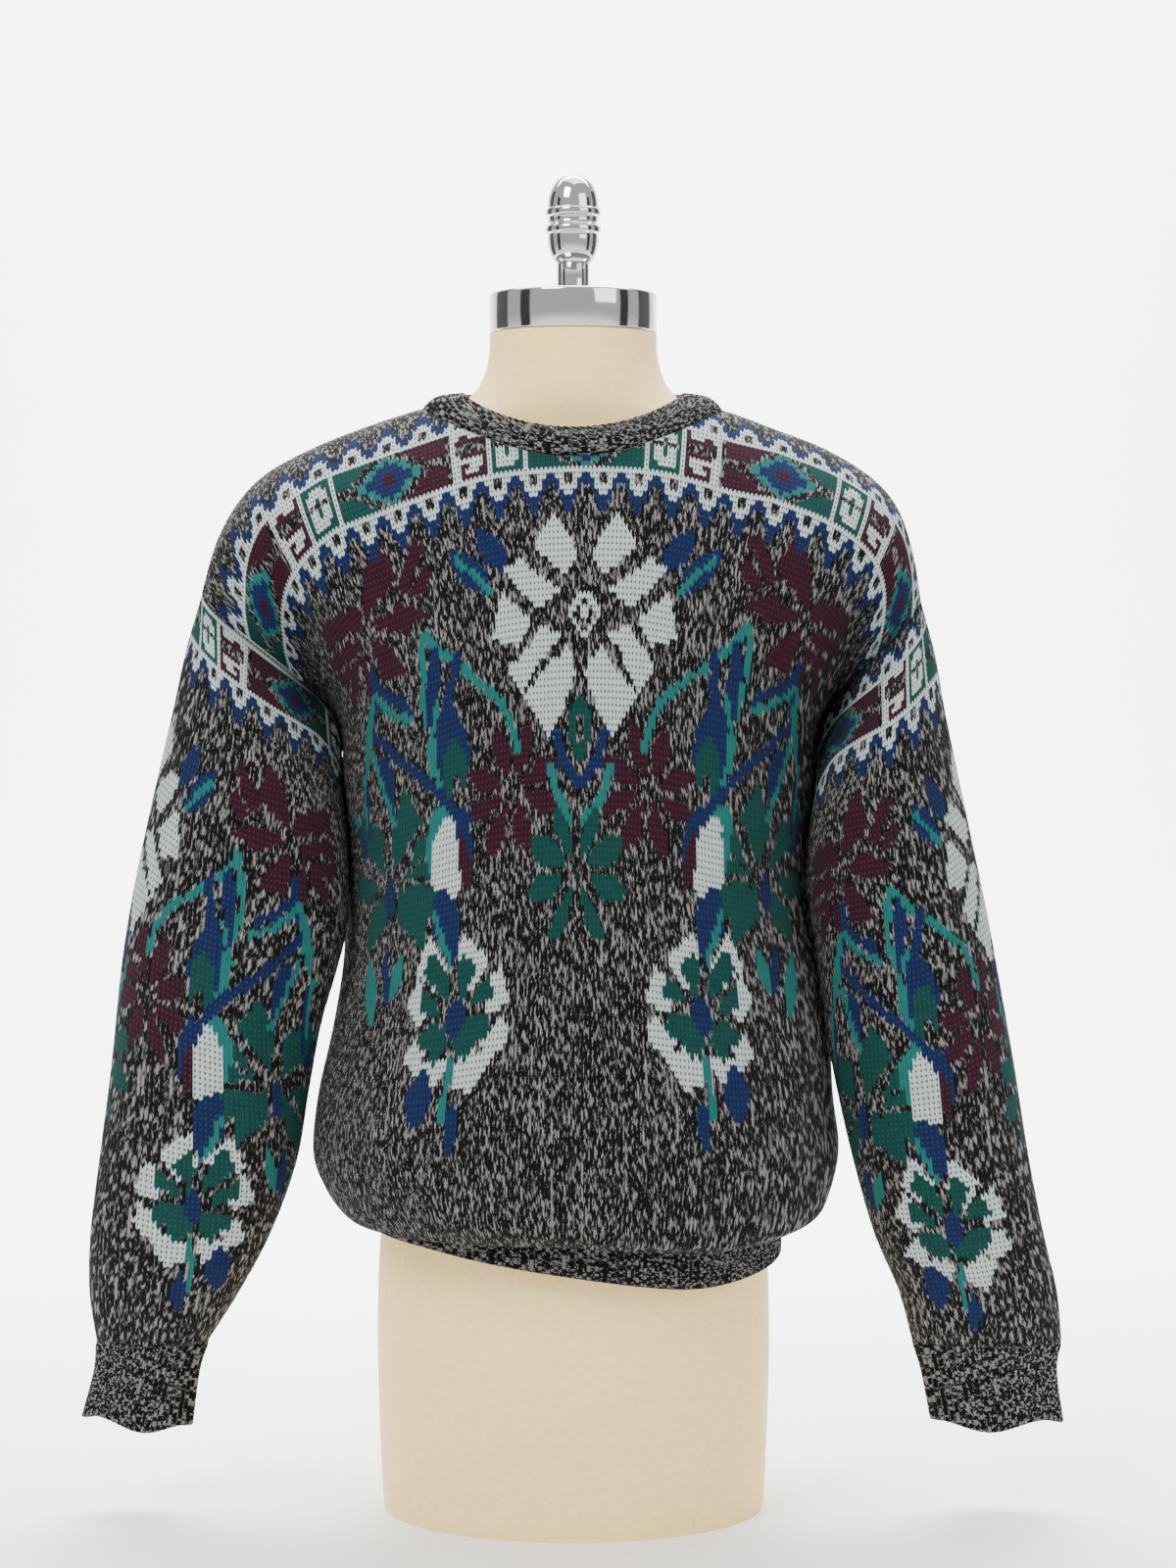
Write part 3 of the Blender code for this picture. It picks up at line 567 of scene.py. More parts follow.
BODY = BodyShape()
SLEEVES = (
    SleeveShape(
        "left", -1.0,
        rings=(
            SleeveRing(0.2775, 0.6381, 0.1665, 0.5330, 0.0665, -0.043),
            SleeveRing(0.2856, 0.5922, 0.1618, 0.4990, 0.0620, -0.062),
            SleeveRing(0.2962, 0.5455, 0.1606, 0.4664, 0.0605, -0.066),
            SleeveRing(0.3072, 0.4960, 0.1621, 0.4345, 0.0585, -0.069),
            SleeveRing(0.3171, 0.4489, 0.1702, 0.4021, 0.0560, -0.066),
            SleeveRing(0.3245, 0.4026, 0.1807, 0.3664, 0.0535, -0.064),
            SleeveRing(0.3318, 0.3392, 0.1901, 0.3186, 0.0505, -0.060),
            SleeveRing(0.3421, 0.2709, 0.2003, 0.2640, 0.0465, -0.052),
            SleeveRing(0.3507, 0.2127, 0.2201, 0.2107, 0.0420, -0.043),
            SleeveRing(0.3533, 0.1679, 0.2435, 0.1669, 0.0370, -0.034),
            SleeveRing(0.3496, 0.1290, 0.2673, 0.1290, 0.0280, -0.026),
        ),
        cuff_rings=(
            SleeveRing(0.3496, 0.1290, 0.2673, 0.1290, 0.0280, -0.026),
            SleeveRing(0.3516, 0.1060, 0.2747, 0.1060, 0.0240, -0.025),
            SleeveRing(0.3608, 0.0740, 0.2803, 0.0640, 0.0215, -0.024),
        ),
        creases=(
            (0.30, 0.13, 0.62, 0.10, 0.0045, 0.022),
            (0.42, 0.93, 0.66, 0.86, 0.0040, 0.022),
            (0.50, 0.24, 0.80, 0.20, 0.0022, 0.022),
            (0.80, 0.18, 0.99, 0.22, 0.0026, 0.014),
            (0.82, 0.33, 0.99, 0.35, 0.0024, 0.014),
            (0.84, 0.70, 0.99, 0.66, 0.0026, 0.014),
            (0.84, 0.86, 0.99, 0.84, 0.0024, 0.014),
        ),
    ),
    SleeveShape(
        "right", 1.0,
        rings=(
            SleeveRing(0.2600, 0.6340, 0.1748, 0.5330, 0.0680, -0.041),
            SleeveRing(0.2662, 0.5895, 0.1688, 0.4970, 0.0620, -0.062),
            SleeveRing(0.2753, 0.5445, 0.1702, 0.4634, 0.0605, -0.066),
            SleeveRing(0.2858, 0.4950, 0.1747, 0.4276, 0.0585, -0.069),
            SleeveRing(0.2962, 0.4480, 0.1795, 0.3903, 0.0560, -0.066),
            SleeveRing(0.3050, 0.4026, 0.1836, 0.3527, 0.0535, -0.064),
            SleeveRing(0.3170, 0.3392, 0.1914, 0.3127, 0.0505, -0.060),
            SleeveRing(0.3291, 0.2709, 0.2040, 0.2610, 0.0465, -0.052),
            SleeveRing(0.3415, 0.2127, 0.2193, 0.2097, 0.0420, -0.043),
            SleeveRing(0.3530, 0.1679, 0.2377, 0.1669, 0.0370, -0.034),
            SleeveRing(0.3581, 0.1290, 0.2484, 0.1290, 0.0280, -0.026),
        ),
        cuff_rings=(
            SleeveRing(0.3581, 0.1290, 0.2484, 0.1290, 0.0280, -0.026),
            SleeveRing(0.3546, 0.1060, 0.2557, 0.1060, 0.0240, -0.025),
            SleeveRing(0.3598, 0.0700, 0.2629, 0.0680, 0.0230, -0.024),
        ),
        creases=(
            (0.28, 0.12, 0.60, 0.09, 0.0045, 0.022),
            (0.40, 0.92, 0.64, 0.87, 0.0040, 0.022),
            (0.55, 0.22, 0.84, 0.25, 0.0022, 0.022),
            (0.80, 0.15, 0.99, 0.19, 0.0026, 0.014),
            (0.83, 0.30, 0.99, 0.33, 0.0024, 0.014),
            (0.82, 0.68, 0.99, 0.66, 0.0026, 0.014),
            (0.86, 0.85, 0.99, 0.83, 0.0024, 0.014),
        ),
    ),
)


Point = tuple[float, float]


class Patch(NamedTuple):
    """Four corners round a petal, each as millimetres outward and down from its flower's middle."""

    tip: Point
    left: Point
    foot: Point
    right: Point


class Petals(NamedTuple):
    """Four-cornered petals round a middle; size is a factor on their corners."""

    middle: Point
    patches: tuple[Patch, ...]
    yarn: Yarn
    size: float = 1.0


class Leaf(NamedTuple):
    """Leaf from tip to foot; belly is the share of its length at which it is widest."""

    tip: Point
    foot: Point
    width: float
    yarn: Yarn
    belly: float = 0.5


class Stroke(NamedTuple):
    """Line of one width through points."""

    places: tuple[Point, ...]
    width: float
    yarn: Yarn


class Lozenge(NamedTuple):
    """Upright lozenge."""

    middle: Point
    half_width: float
    half_height: float
    yarn: Yarn


class Wheel(NamedTuple):
    """Leaf-shaped petals round a middle: degrees from straight up, length and width of each."""

    middle: Point
    petals: tuple[tuple[float, float, float], ...]
    yarn: Yarn
    start: float


Motif = Petals | Leaf | Stroke | Lozenge | Wheel

WHITE_PETALS = (
    Patch((22, -70), (5, -42), (14, -24), (38, -48)),
    Patch((48, -39), (18, -16), (36, -4), (61, -32)),
    Patch((63, -19), (40, 4), (51, 19), (72, 12)),
    Patch((32, 7), (18, 13), (47, 50), (57, 33)),
    Patch((12, 20), (3, 41), (24, 82), (45, 53)),
)
STAR_ARMS = (
    Patch((-28, -52), (-37, -22), (-2, -3), (-9, -31)),
    Patch((44, -28), (2, -16), (-1, 1), (47, -12)),
    Patch((49, -7), (6, 5), (9, 14), (54, 3)),
    Patch((50, 7), (14, 18), (18, 27), (46, 17)),
    Patch((23, 22), (17, 29), (33, 44), (40, 32)),
    Patch((7, 16), (5, 56), (9, 62), (13, 18)),
    Patch((-2, 8), (-22, 22), (-35, 41), (-7, 41)),
    Patch((-36, -4), (-59, 9), (-36, 16), (-3, 2)),
    Patch((-63, -36), (-54, -41), (-32, -14), (-42, -9)),
    Patch((-66, -16), (-58, -22), (-44, -7), (-52, -1)),
)
GREEN_PETALS = (
    Patch((-12, -63), (-31, -38), (-2, -7), (4, -36)),
    Patch((45, -57), (14, -38), (9, -5), (52, -36)),
    Patch((-50, -44), (-62, -25), (-16, -5), (-28, -24)),
    Patch((-64, -4), (-50, -14), (-12, -1), (-44, 4)),
    Patch((-59, 8), (-14, 6), (-38, 32), (-63, 30)),
    Patch((-7, 5), (-36, 19), (-34, 52), (-4, 28)),
    Patch((8, 5), (10, 32), (40, 49), (34, 20)),
    Patch((57, -12), (16, 0), (32, 12), (61, 8)),
)
WHITE_RIM = (
    Patch((-4, -50), (-26, -28), (-12, -10), (2, -26)),
    Patch((26, -52), (8, -30), (12, -10), (38, -30)),
    Patch((-36, -22), (-44, 2), (-24, 6), (-22, -14)),
    Patch((36, -26), (24, -12), (30, 8), (46, -8)),
    Patch((-40, 10), (-44, 26), (-26, 36), (-18, 14)),
    Patch((34, 12), (20, 18), (30, 36), (44, 26)),
    Patch((-8, 24), (-30, 34), (-16, 56), (2, 46)),
    Patch((16, 24), (4, 34), (16, 54), (32, 36)),
)
GREEN_CORE = (
    Patch((-4, -36), (-16, -22), (-3, -4), (1, -22)),
    Patch((23, -42), (9, -26), (5, -4), (30, -26)),
    Patch((-25, -17), (-31, -3), (-8, -1), (-14, -11)),
    Patch((31, -19), (16, -8), (14, 3), (33, -4)),
    Patch((-26, 6), (-28, 18), (-20, 24), (-6, 5)),
    Patch((30, 8), (12, 6), (22, 22), (31, 18)),
    Patch((-4, 6), (-20, 20), (-10, 33), (3, 24)),
    Patch((9, 6), (5, 22), (16, 32), (24, 18)),
)

# the large white flower on the middle line, with its leaves
WHITE_FLOWER: tuple[Motif, ...] = (
    Petals((0, 220.5), WHITE_PETALS, Yarn.WHITE),
    Lozenge((0, 220), 13, 17.5, Yarn.WHITE),
    Lozenge((0, 220), 9, 12.5, Yarn.GROUND),
    Lozenge((0, 220), 3.6, 6, Yarn.WHITE),
    Leaf((77, 153), (60, 189), 16.5, Yarn.BLUE, 0.55),
    Leaf((99, 164), (71, 202), 18, Yarn.BLUE),
    Stroke(((95, 172), (86, 182), (72, 200)), 5, Yarn.TURQUOISE),
)
# the coloured flowers, and the buds between them
FLOWERS: tuple[Motif, ...] = (
    Petals((180, 190), STAR_ARMS, Yarn.BURGUNDY, 1.02),
    Wheel((55, 333), ((-18, 45, 14.5), (20, 45, 14.5), (66, 41, 15), (110, 40, 15), (158, 46, 14),
          (200, 44, 14), (248, 41, 15), (294, 41, 15)), Yarn.BURGUNDY, 8.5),
    Petals((165, 374), GREEN_PETALS, Yarn.GREEN),
    Leaf((168, 370), (169, 402), 12, Yarn.BLUE),
    Stroke(((111, 381), (118, 400), (120, 414)), 6.2, Yarn.TURQUOISE),
    Leaf((176, 420), (172, 462), 10, Yarn.BLUE),
    Leaf((200, 424), (190, 474), 18, Yarn.TURQUOISE),
    Leaf((156, 426), (168, 458), 13, Yarn.TURQUOISE),
    Leaf((115, 329), (112, 400), 33, Yarn.TURQUOISE, 0.35),
    Leaf((113, 337), (108, 406), 29, Yarn.WHITE),
    Leaf((99, 334), (88, 382), 12.5, Yarn.BLUE, 0.4),
    Leaf((97.5, 354), (91, 396), 10.5, Yarn.BURGUNDY),
    Leaf((117, 388), (103, 438), 26, Yarn.BLUE, 0.42),
    Stroke(((122, 404), (114, 424), (107, 440)), 5, Yarn.TURQUOISE),
    Petals((100, 472), WHITE_RIM, Yarn.WHITE, 1.05),
    Petals((100, 472), GREEN_CORE, Yarn.GREEN, 1.08),
    Leaf((100, 464), (101, 492), 16.5, Yarn.BLUE, 0.45),
    Leaf((126, 507), (127, 548), 22, Yarn.BLUE),
    Leaf((96, 532), (98.5, 570), 12, Yarn.BLUE),
    Stroke(((101, 505), (104, 530), (105, 546)), 5.2, Yarn.TURQUOISE),
)
# stems, thin leaves and the tall leaf
STEMS: tuple[Motif, ...] = (
    Stroke(((128, 212), (117, 227), (89, 251), (64, 274), (56, 290), (51, 308)), 5.6, Yarn.TURQUOISE),
    Stroke(((130, 216), (133, 250), (129, 272)), 5.6, Yarn.TURQUOISE),
    Leaf((120, 222), (126, 282), 12.5, Yarn.BLUE, 0.4),
    Stroke(((102, 236), (108, 262)), 8, Yarn.BLUE),
    Leaf((111, 258), (106, 334), 33, Yarn.BLUE, 0.55),
    Leaf((106, 288), (103, 336), 23, Yarn.GREEN, 0.45),
    Leaf((103, 312), (102, 340), 8, Yarn.GROUND),
    Stroke(((121.5, 286), (122.5, 304), (118, 318)), 4.8, Yarn.TURQUOISE),
    Stroke(((118, 262), (127, 290), (124, 306)), 4.6, Yarn.TURQUOISE),
    Stroke(((182, 220), (181, 240), (190, 262), (160, 288), (128, 313), (111, 331), (99, 348)),
           7.2, Yarn.BLUE),
    Stroke(((182, 232), (165, 246), (150, 252), (143, 264)), 7, Yarn.BLUE),
    Stroke(((183, 240), (164, 256), (142, 266)), 5.5, Yarn.TURQUOISE),
    Leaf((186, 236), (201, 292), 10.5, Yarn.TURQUOISE),
    Leaf((180, 282), (164, 327), 18, Yarn.BLUE, 0.4),
    Stroke(((189, 278), (175, 312), (164, 334)), 4.8, Yarn.TURQUOISE),
    Stroke(((205, 290), (202, 328)), 4.8, Yarn.TURQUOISE),
    Stroke(((200, 298), (198, 340)), 4, Yarn.BLUE),
    Stroke(((235, 314), (216, 330), (203, 352)), 7.5, Yarn.BLUE),
    Stroke(((240, 308), (218, 324)), 5.5, Yarn.TURQUOISE),
)
# the small leaf, the two chevrons and the small flower on the middle line
MIDDLE_LINE: tuple[Motif, ...] = (
    Leaf((0, 273), (0, 318), 20, Yarn.GREEN),
    Leaf((0, 284), (0, 306), 7, Yarn.GROUND),
    Stroke(((19, 300), (14, 318), (2, 331)), 7.5, Yarn.BLUE),
    Stroke(((24, 320), (19, 338), (5, 360)), 6.2, Yarn.TURQUOISE),
    Wheel((0, 392), ((22, 47, 11), (58, 44, 19), (108, 42, 18), (156, 49, 11.5)), Yarn.GREEN, 10),
)
# keys of the band, one letter a stitch, from the middle of the garment outward
KEY_LETTERS = {"W": Yarn.WHITE, "G": Yarn.GREEN, "R": Yarn.BURGUNDY, "-": Yarn.GROUND}
GREEN_KEY = ("GGGGGGG", "GGWWWGG", "GWWWWWG", "GWWGWWG", "-------",
             "GWWGWWG", "GWWGWWG", "GWWWWWG", "GGWWWWG", "GGGGGGG")
BURGUNDY_KEY = ("RWWWWWW", "RWWWRRW", "RRRRRRR", "-------", "-------",
                "RRRRRRW", "RWWWWWW", "RWWWRRW", "RRWWWRW", "RRRRRRW")
TOOTH_DEPTHS = (4, 3, 1, 0)
TOOTH = 8                 # stitches in one tooth of the border
LINE_ROWS = 1             # white rows between the band and its teeth
ZIGZAG_ROWS = 2           # blue rows along the teeth, one more at each tip
EYE_ROWS = (1, 3)         # rows of the dark eye in each tooth
REPEAT = 44               # stitches from one diamond's middle to the next
BAND_ROWS = 10
CORNER_REACH = 13.6       # stitches from a diamond's middle to the end of its corner triangles
DIAMOND_SLOPE = (8.6, 5.4)    # stitches and rows from a diamond's middle to its points
# steps of a diamond's slope, from its edge to its heart
DIAMOND_RINGS = ((1.0, Yarn.TURQUOISE), (0.80, Yarn.BLUE), (0.27, Yarn.BURGUNDY))
DIAMOND_EDGE = 1.32       # slope beyond which the corner triangles begin
CORNER_GAP = 0.6          # rows that they keep from the band's middle
KEY_BARS = (13, 21, 29)   # white upright lines beside the keys
KEY_STARTS = ((14, GREEN_KEY), (22, BURGUNDY_KEY))


@dataclass
class MotifChart:
    """Chart of yarns over flat cloth, the same on both sides of its middle.

    The geometric band is worked in whole stitches, as such bands are. The flowers, leaves and stems
    under it are four-cornered petals, leaves, lozenges and strokes, later ones over earlier ones.
    """

    across: np.ndarray
    down: np.ndarray
    band_drop: float = 0.0
    motif_drop: float = 0.0
    motif_scale: float | np.ndarray = 1.0
    band_top: float = 0.0735
    yarns: np.ndarray = field(init=False)

    def __post_init__(self) -> None:
        """Start with plain ground."""
        self.yarns = np.zeros(self.across.shape, dtype=int)

    def paint(self, mask: np.ndarray, yarn: Yarn) -> None:
        """Give the stitches of a mask a yarn."""
        self.yarns[mask] = yarn.value

    def offset(self, origin: Point) -> tuple[np.ndarray, np.ndarray]:
        """Metres outward and down from a point of the chart that is given in millimetres."""
        x = self.across / self.motif_scale - origin[0] / MM
        return x, self.down + self.motif_drop - origin[1] / MM

    def axes(self, start: Point, end: Point) -> tuple[np.ndarray, np.ndarray, float]:
        """Distances along and beside the line between two points, and its length, in metres."""
        step = np.array([end[0] - start[0], end[1] - start[1]]) / MM
        length = float(np.hypot(*step))
        step = step / length
        x, y = self.offset(start)
        return x * step[0] + y * step[1], x * step[1] - y * step[0], length

    def draw(self, motif: Motif) -> None:
        """Paint one row of a table of motifs by the method for its kind."""
        painters = {Petals: self.petals, Leaf: self.leaf, Stroke: self.stroke,
                    Lozenge: self.lozenge, Wheel: self.wheel}
        painters[type(motif)](motif)

    def petals(self, motif: Petals) -> None:
        """Paint four-cornered petals."""
        x, y = self.offset(motif.middle)
        for patch in motif.patches:
            corners = np.array(patch) * motif.size / MM
            from_middle = corners - corners.mean(axis=0)
            corners = corners[np.argsort(np.arctan2(from_middle[:, 1], from_middle[:, 0]))]
            mask = np.ones(x.shape, dtype=bool)
            for start, end in zip(corners, np.roll(corners, -1, axis=0)):
                mask &= (end[0] - start[0]) * (y - start[1]) >= (end[1] - start[1]) * (x - start[0])
            self.paint(mask, motif.yarn)

    def leaf(self, motif: Leaf) -> None:
        """Paint a leaf, widest at its belly."""
        along, side, length = self.axes(motif.tip, motif.foot)
        share = np.clip(along / length, 0.0, 1.0)
        curve = np.sin(math.pi * share ** (math.log(0.5) / math.log(motif.belly))) ** 0.8
        inside = (along > 0.0) & (along < length)
        self.paint((np.abs(side) < motif.width / 2 / MM * curve) & inside, motif.yarn)

    def stroke(self, motif: Stroke) -> None:
        """Paint a line, its ends and corners a little longer than its points."""
        width = motif.width / MM
        for start, end in zip(motif.places, motif.places[1:]):
            along, side, length = self.axes(start, end)
            near = (along > -width / 3) & (along < length + width / 3)
            self.paint(near & (np.abs(side) < width / 2), motif.yarn)

    def lozenge(self, motif: Lozenge) -> None:
        """Paint a lozenge."""
        x, y = self.offset(motif.middle)
        reach = np.abs(x) / (motif.half_width / MM) + np.abs(y) / (motif.half_height / MM)
        self.paint(reach < 1.0, motif.yarn)

    def wheel(self, motif: Wheel) -> None:
        """Paint leaf-shaped petals round a middle."""
        for degrees, length, width in motif.petals:
            angle = math.radians(degrees)
            way = (math.sin(angle), -math.cos(angle))
            tip = (motif.middle[0] + way[0] * length, motif.middle[1] + way[1] * length)
            foot = (motif.middle[0] + way[0] * motif.start, motif.middle[1] + way[1] * motif.start)
            self.leaf(Leaf(tip, foot, width, motif.yarn, 0.42))

    def band(self) -> None:
        """Work the geometric band: toothed borders with blue zigzags, diamonds, corners and keys."""
        stitch = np.floor(self.across / STITCH_WIDTH).astype(int)
        row = np.floor((self.down + self.band_drop - self.band_top) / STITCH_HEIGHT).astype(int)
        inside = (row >= 0) & (row < BAND_ROWS)
        # the upper border mirrors the lower one
        beyond = np.where(row < 0, -1 - row, row - BAND_ROWS)
        phase = (stitch % TOOTH) - TOOTH // 2
        offset = np.where(phase < 0, -1 - phase, phase)
        depth = np.array(TOOTH_DEPTHS)[offset] + LINE_ROWS
        self.paint(~inside & (beyond < depth + ZIGZAG_ROWS + (offset == 0)), Yarn.BLUE)
        self.paint(~inside & (beyond < depth), Yarn.WHITE)
        eye = (beyond >= EYE_ROWS[0]) & (beyond < EYE_ROWS[1])
        self.paint(~inside & (offset < 1) & eye, Yarn.GROUND)
        self.paint(inside, Yarn.GROUND)
        turn = stitch % REPEAT
        core = np.minimum(turn, REPEAT - turn) + 0.5
        level = np.abs(row - (BAND_ROWS - 1) / 2)
        slope = core / DIAMOND_SLOPE[0] + level / DIAMOND_SLOPE[1]
        corner = inside & (core < CORNER_REACH) & (slope > DIAMOND_EDGE) & (level > CORNER_GAP)
        self.paint(corner & (turn < REPEAT / 2), Yarn.GREEN)
        self.paint(corner & (turn >= REPEAT / 2), Yarn.BURGUNDY)
        for edge, yarn in DIAMOND_RINGS:
            self.paint(inside & (slope < edge), yarn)
        self.paint(inside & np.isin(turn, KEY_BARS), Yarn.WHITE)
        for start, chart in KEY_STARTS:
            for line, letters in enumerate(chart):
                for column, letter in enumerate(letters):
                    self.paint(inside & (row == line) & (turn == start + column), KEY_LETTERS[letter])

    def work(self) -> np.ndarray:
        """Paint the whole chart.

        Returns:
            The yarn number of each stitch.
        """
        for motif in WHITE_FLOWER + FLOWERS + STEMS + MIDDLE_LINE:
            self.draw(motif)
        self.band()
        return self.yarns


@dataclass
class StitchMesh:
    """Builds a closed shell from a stitch grid: fine outer skin, coarser inner skin, and the rims.

    Each half stitch is one face, a leg of the knitted V. Vertices that fall together where the grid
    is cut to the piece's edge are shared.
    """

    name: str
    outer: np.ndarray
    inner: np.ndarray
    keys: np.ndarray
    stitches: np.ndarray
    yarns: np.ndarray
    flip: bool
    every: int = 4

    def build(self) -> bpy.types.Object:
        """Make the mesh with its attributes.

        Returns:
            The object.
        """
        columns, rows = self.keys.shape
        ids, first = self.number(self.keys)
        faces, legs = self.quads(ids, self.flip)
        yarns = self.yarns[np.minimum(legs[:, 0] // 2, self.yarns.shape[0] - 1), legs[:, 1]]
        keep = np.unique(np.concatenate([np.arange(0, columns, self.every), [columns - 1]]))
        coarse_ids, coarse_first = self.number(self.keys[keep])
        coarse_ids = coarse_ids + len(first)
        inner_faces, _ = self.quads(coarse_ids, not self.flip)
        points = (self.outer.reshape(-1, 3)[first], self.inner[keep].reshape(-1, 3)[coarse_first])
        wales = (self.stitches.reshape(-1, 2)[first], self.stitches[keep].reshape(-1, 2)[coarse_first])
        rims = []
        step = np.arange(rows)
        for fine, fine_at, coarse, coarse_at, turned in (
                (ids[:, 0], np.arange(columns), coarse_ids[:, 0], keep, False),
                (ids[:, -1], np.arange(columns), coarse_ids[:, -1], keep, True),
                (ids[0], step, coarse_ids[0], step, True),
                (ids[-1], step, coarse_ids[-1], step, False)):
            rims += self.rim(fine, fine_at, coarse, coarse_at, turned != self.flip)
        mesh = bpy.data.meshes.new(self.name)
        mesh.from_pydata(np.concatenate(points).tolist(), [], faces + inner_faces + rims)
        plain = np.zeros(len(inner_faces) + len(rims), dtype=int)
        self.dress(mesh, np.concatenate([yarns, plain]), np.concatenate(wales))
        return add(self.name, mesh)

    @staticmethod
    def number(keys: np.ndarray) -> tuple[np.ndarray, np.ndarray]:
        """Number the vertices of a grid, so that points with the same key share one.

        Args:
            keys: Key of each grid point.

        Returns:
            The vertex number of each grid point, and the first grid point of each vertex.
        """
        found, ids = np.unique(keys, return_inverse=True)
        ids = ids.reshape(keys.shape)
        first = np.zeros(len(found), dtype=int)
        first[ids.ravel()[::-1]] = np.arange(keys.size)[::-1]
        return ids, first

    @staticmethod
    def quads(ids: np.ndarray, flip: bool) -> tuple[list[tuple[int, ...]], np.ndarray]:
        """Faces of a grid of vertex numbers, without those that fall together.

        Args:
            ids: Vertex numbers (columns, rows).
            flip: Whether the faces turn the other way.

        Returns:
            The faces, and the column and row of each.
        """
        corners = np.stack([ids[:-1, :-1], ids[1:, :-1], ids[1:, 1:], ids[:-1, 1:]], axis=-1)
        where = np.stack(np.meshgrid(np.arange(corners.shape[0]), np.arange(corners.shape[1]),
                                     indexing="ij"), axis=-1)
        corners, where = corners.reshape(-1, 4), where.reshape(-1, 2)
        if flip:
            corners = corners[:, ::-1]
        faces, kept = [], []
        whole = (corners != np.roll(corners, 1, axis=1)).all(axis=1)
        for index, (corner, good) in enumerate(zip(corners.tolist(), whole.tolist())):
            if not good:
                corner = list(dict.fromkeys(corner))
                if len(corner) < 3:
                    continue
            faces.append(tuple(corner))
            kept.append(index)
        return faces, where[kept]

    @staticmethod
    def rim(fine: np.ndarray, fine_at: np.ndarray, coarse: np.ndarray, coarse_at: np.ndarray,
            turned: bool) -> list[tuple[int, ...]]:
        """Triangles between a fine and a coarse edge.

        Args:
            fine: Vertex numbers along the outer skin's edge.
            fine_at: Their places along it.
            coarse: Vertex numbers along the inner skin's edge.
            coarse_at: Their places along it.
            turned: Whether the triangles turn the other way.

        Returns:
            The triangles.
        """
        faces = []
        i = j = 0
        while i < len(fine) - 1 or j < len(coarse) - 1:
            on_fine = j >= len(coarse) - 1 or (i < len(fine) - 1 and fine_at[i + 1] <= coarse_at[j + 1])
            if on_fine:
                face = (int(fine[i + 1]), int(fine[i]), int(coarse[j]))
                i += 1
            else:
                face = (int(fine[i]), int(coarse[j]), int(coarse[j + 1]))
                j += 1
            if len(set(face)) == 3:
                faces.append(face[::-1] if turned else face)
        return faces

    @staticmethod
    def dress(mesh: bpy.types.Mesh, yarns: np.ndarray, wales: np.ndarray) -> None:
        """Store the yarn of each face and the wale and row of each vertex.

        Args:
            mesh: The mesh.
            yarns: Yarn number of each face.
            wales: Wale and row of each vertex.
        """
        palette = np.array([YARN_COLOURS[yarn] + (1.0,) for yarn in Yarn])
        colour = mesh.attributes.new("yarn", "FLOAT_COLOR", "FACE")
        colour.data.foreach_set("color", palette[yarns].ravel())
        marl = mesh.attributes.new("marl", "FLOAT", "FACE")
        marl.data.foreach_set("value", (yarns == Yarn.GROUND.value).astype(float))
        wale = mesh.attributes.new("wale", "FLOAT_VECTOR", "POINT")
        wale.data.foreach_set("vector", np.concatenate([wales, np.zeros((len(wales), 1))], axis=1).ravel())
        mesh.polygons.foreach_set("use_smooth", np.ones(len(mesh.polygons), dtype=bool))
        mesh.update()


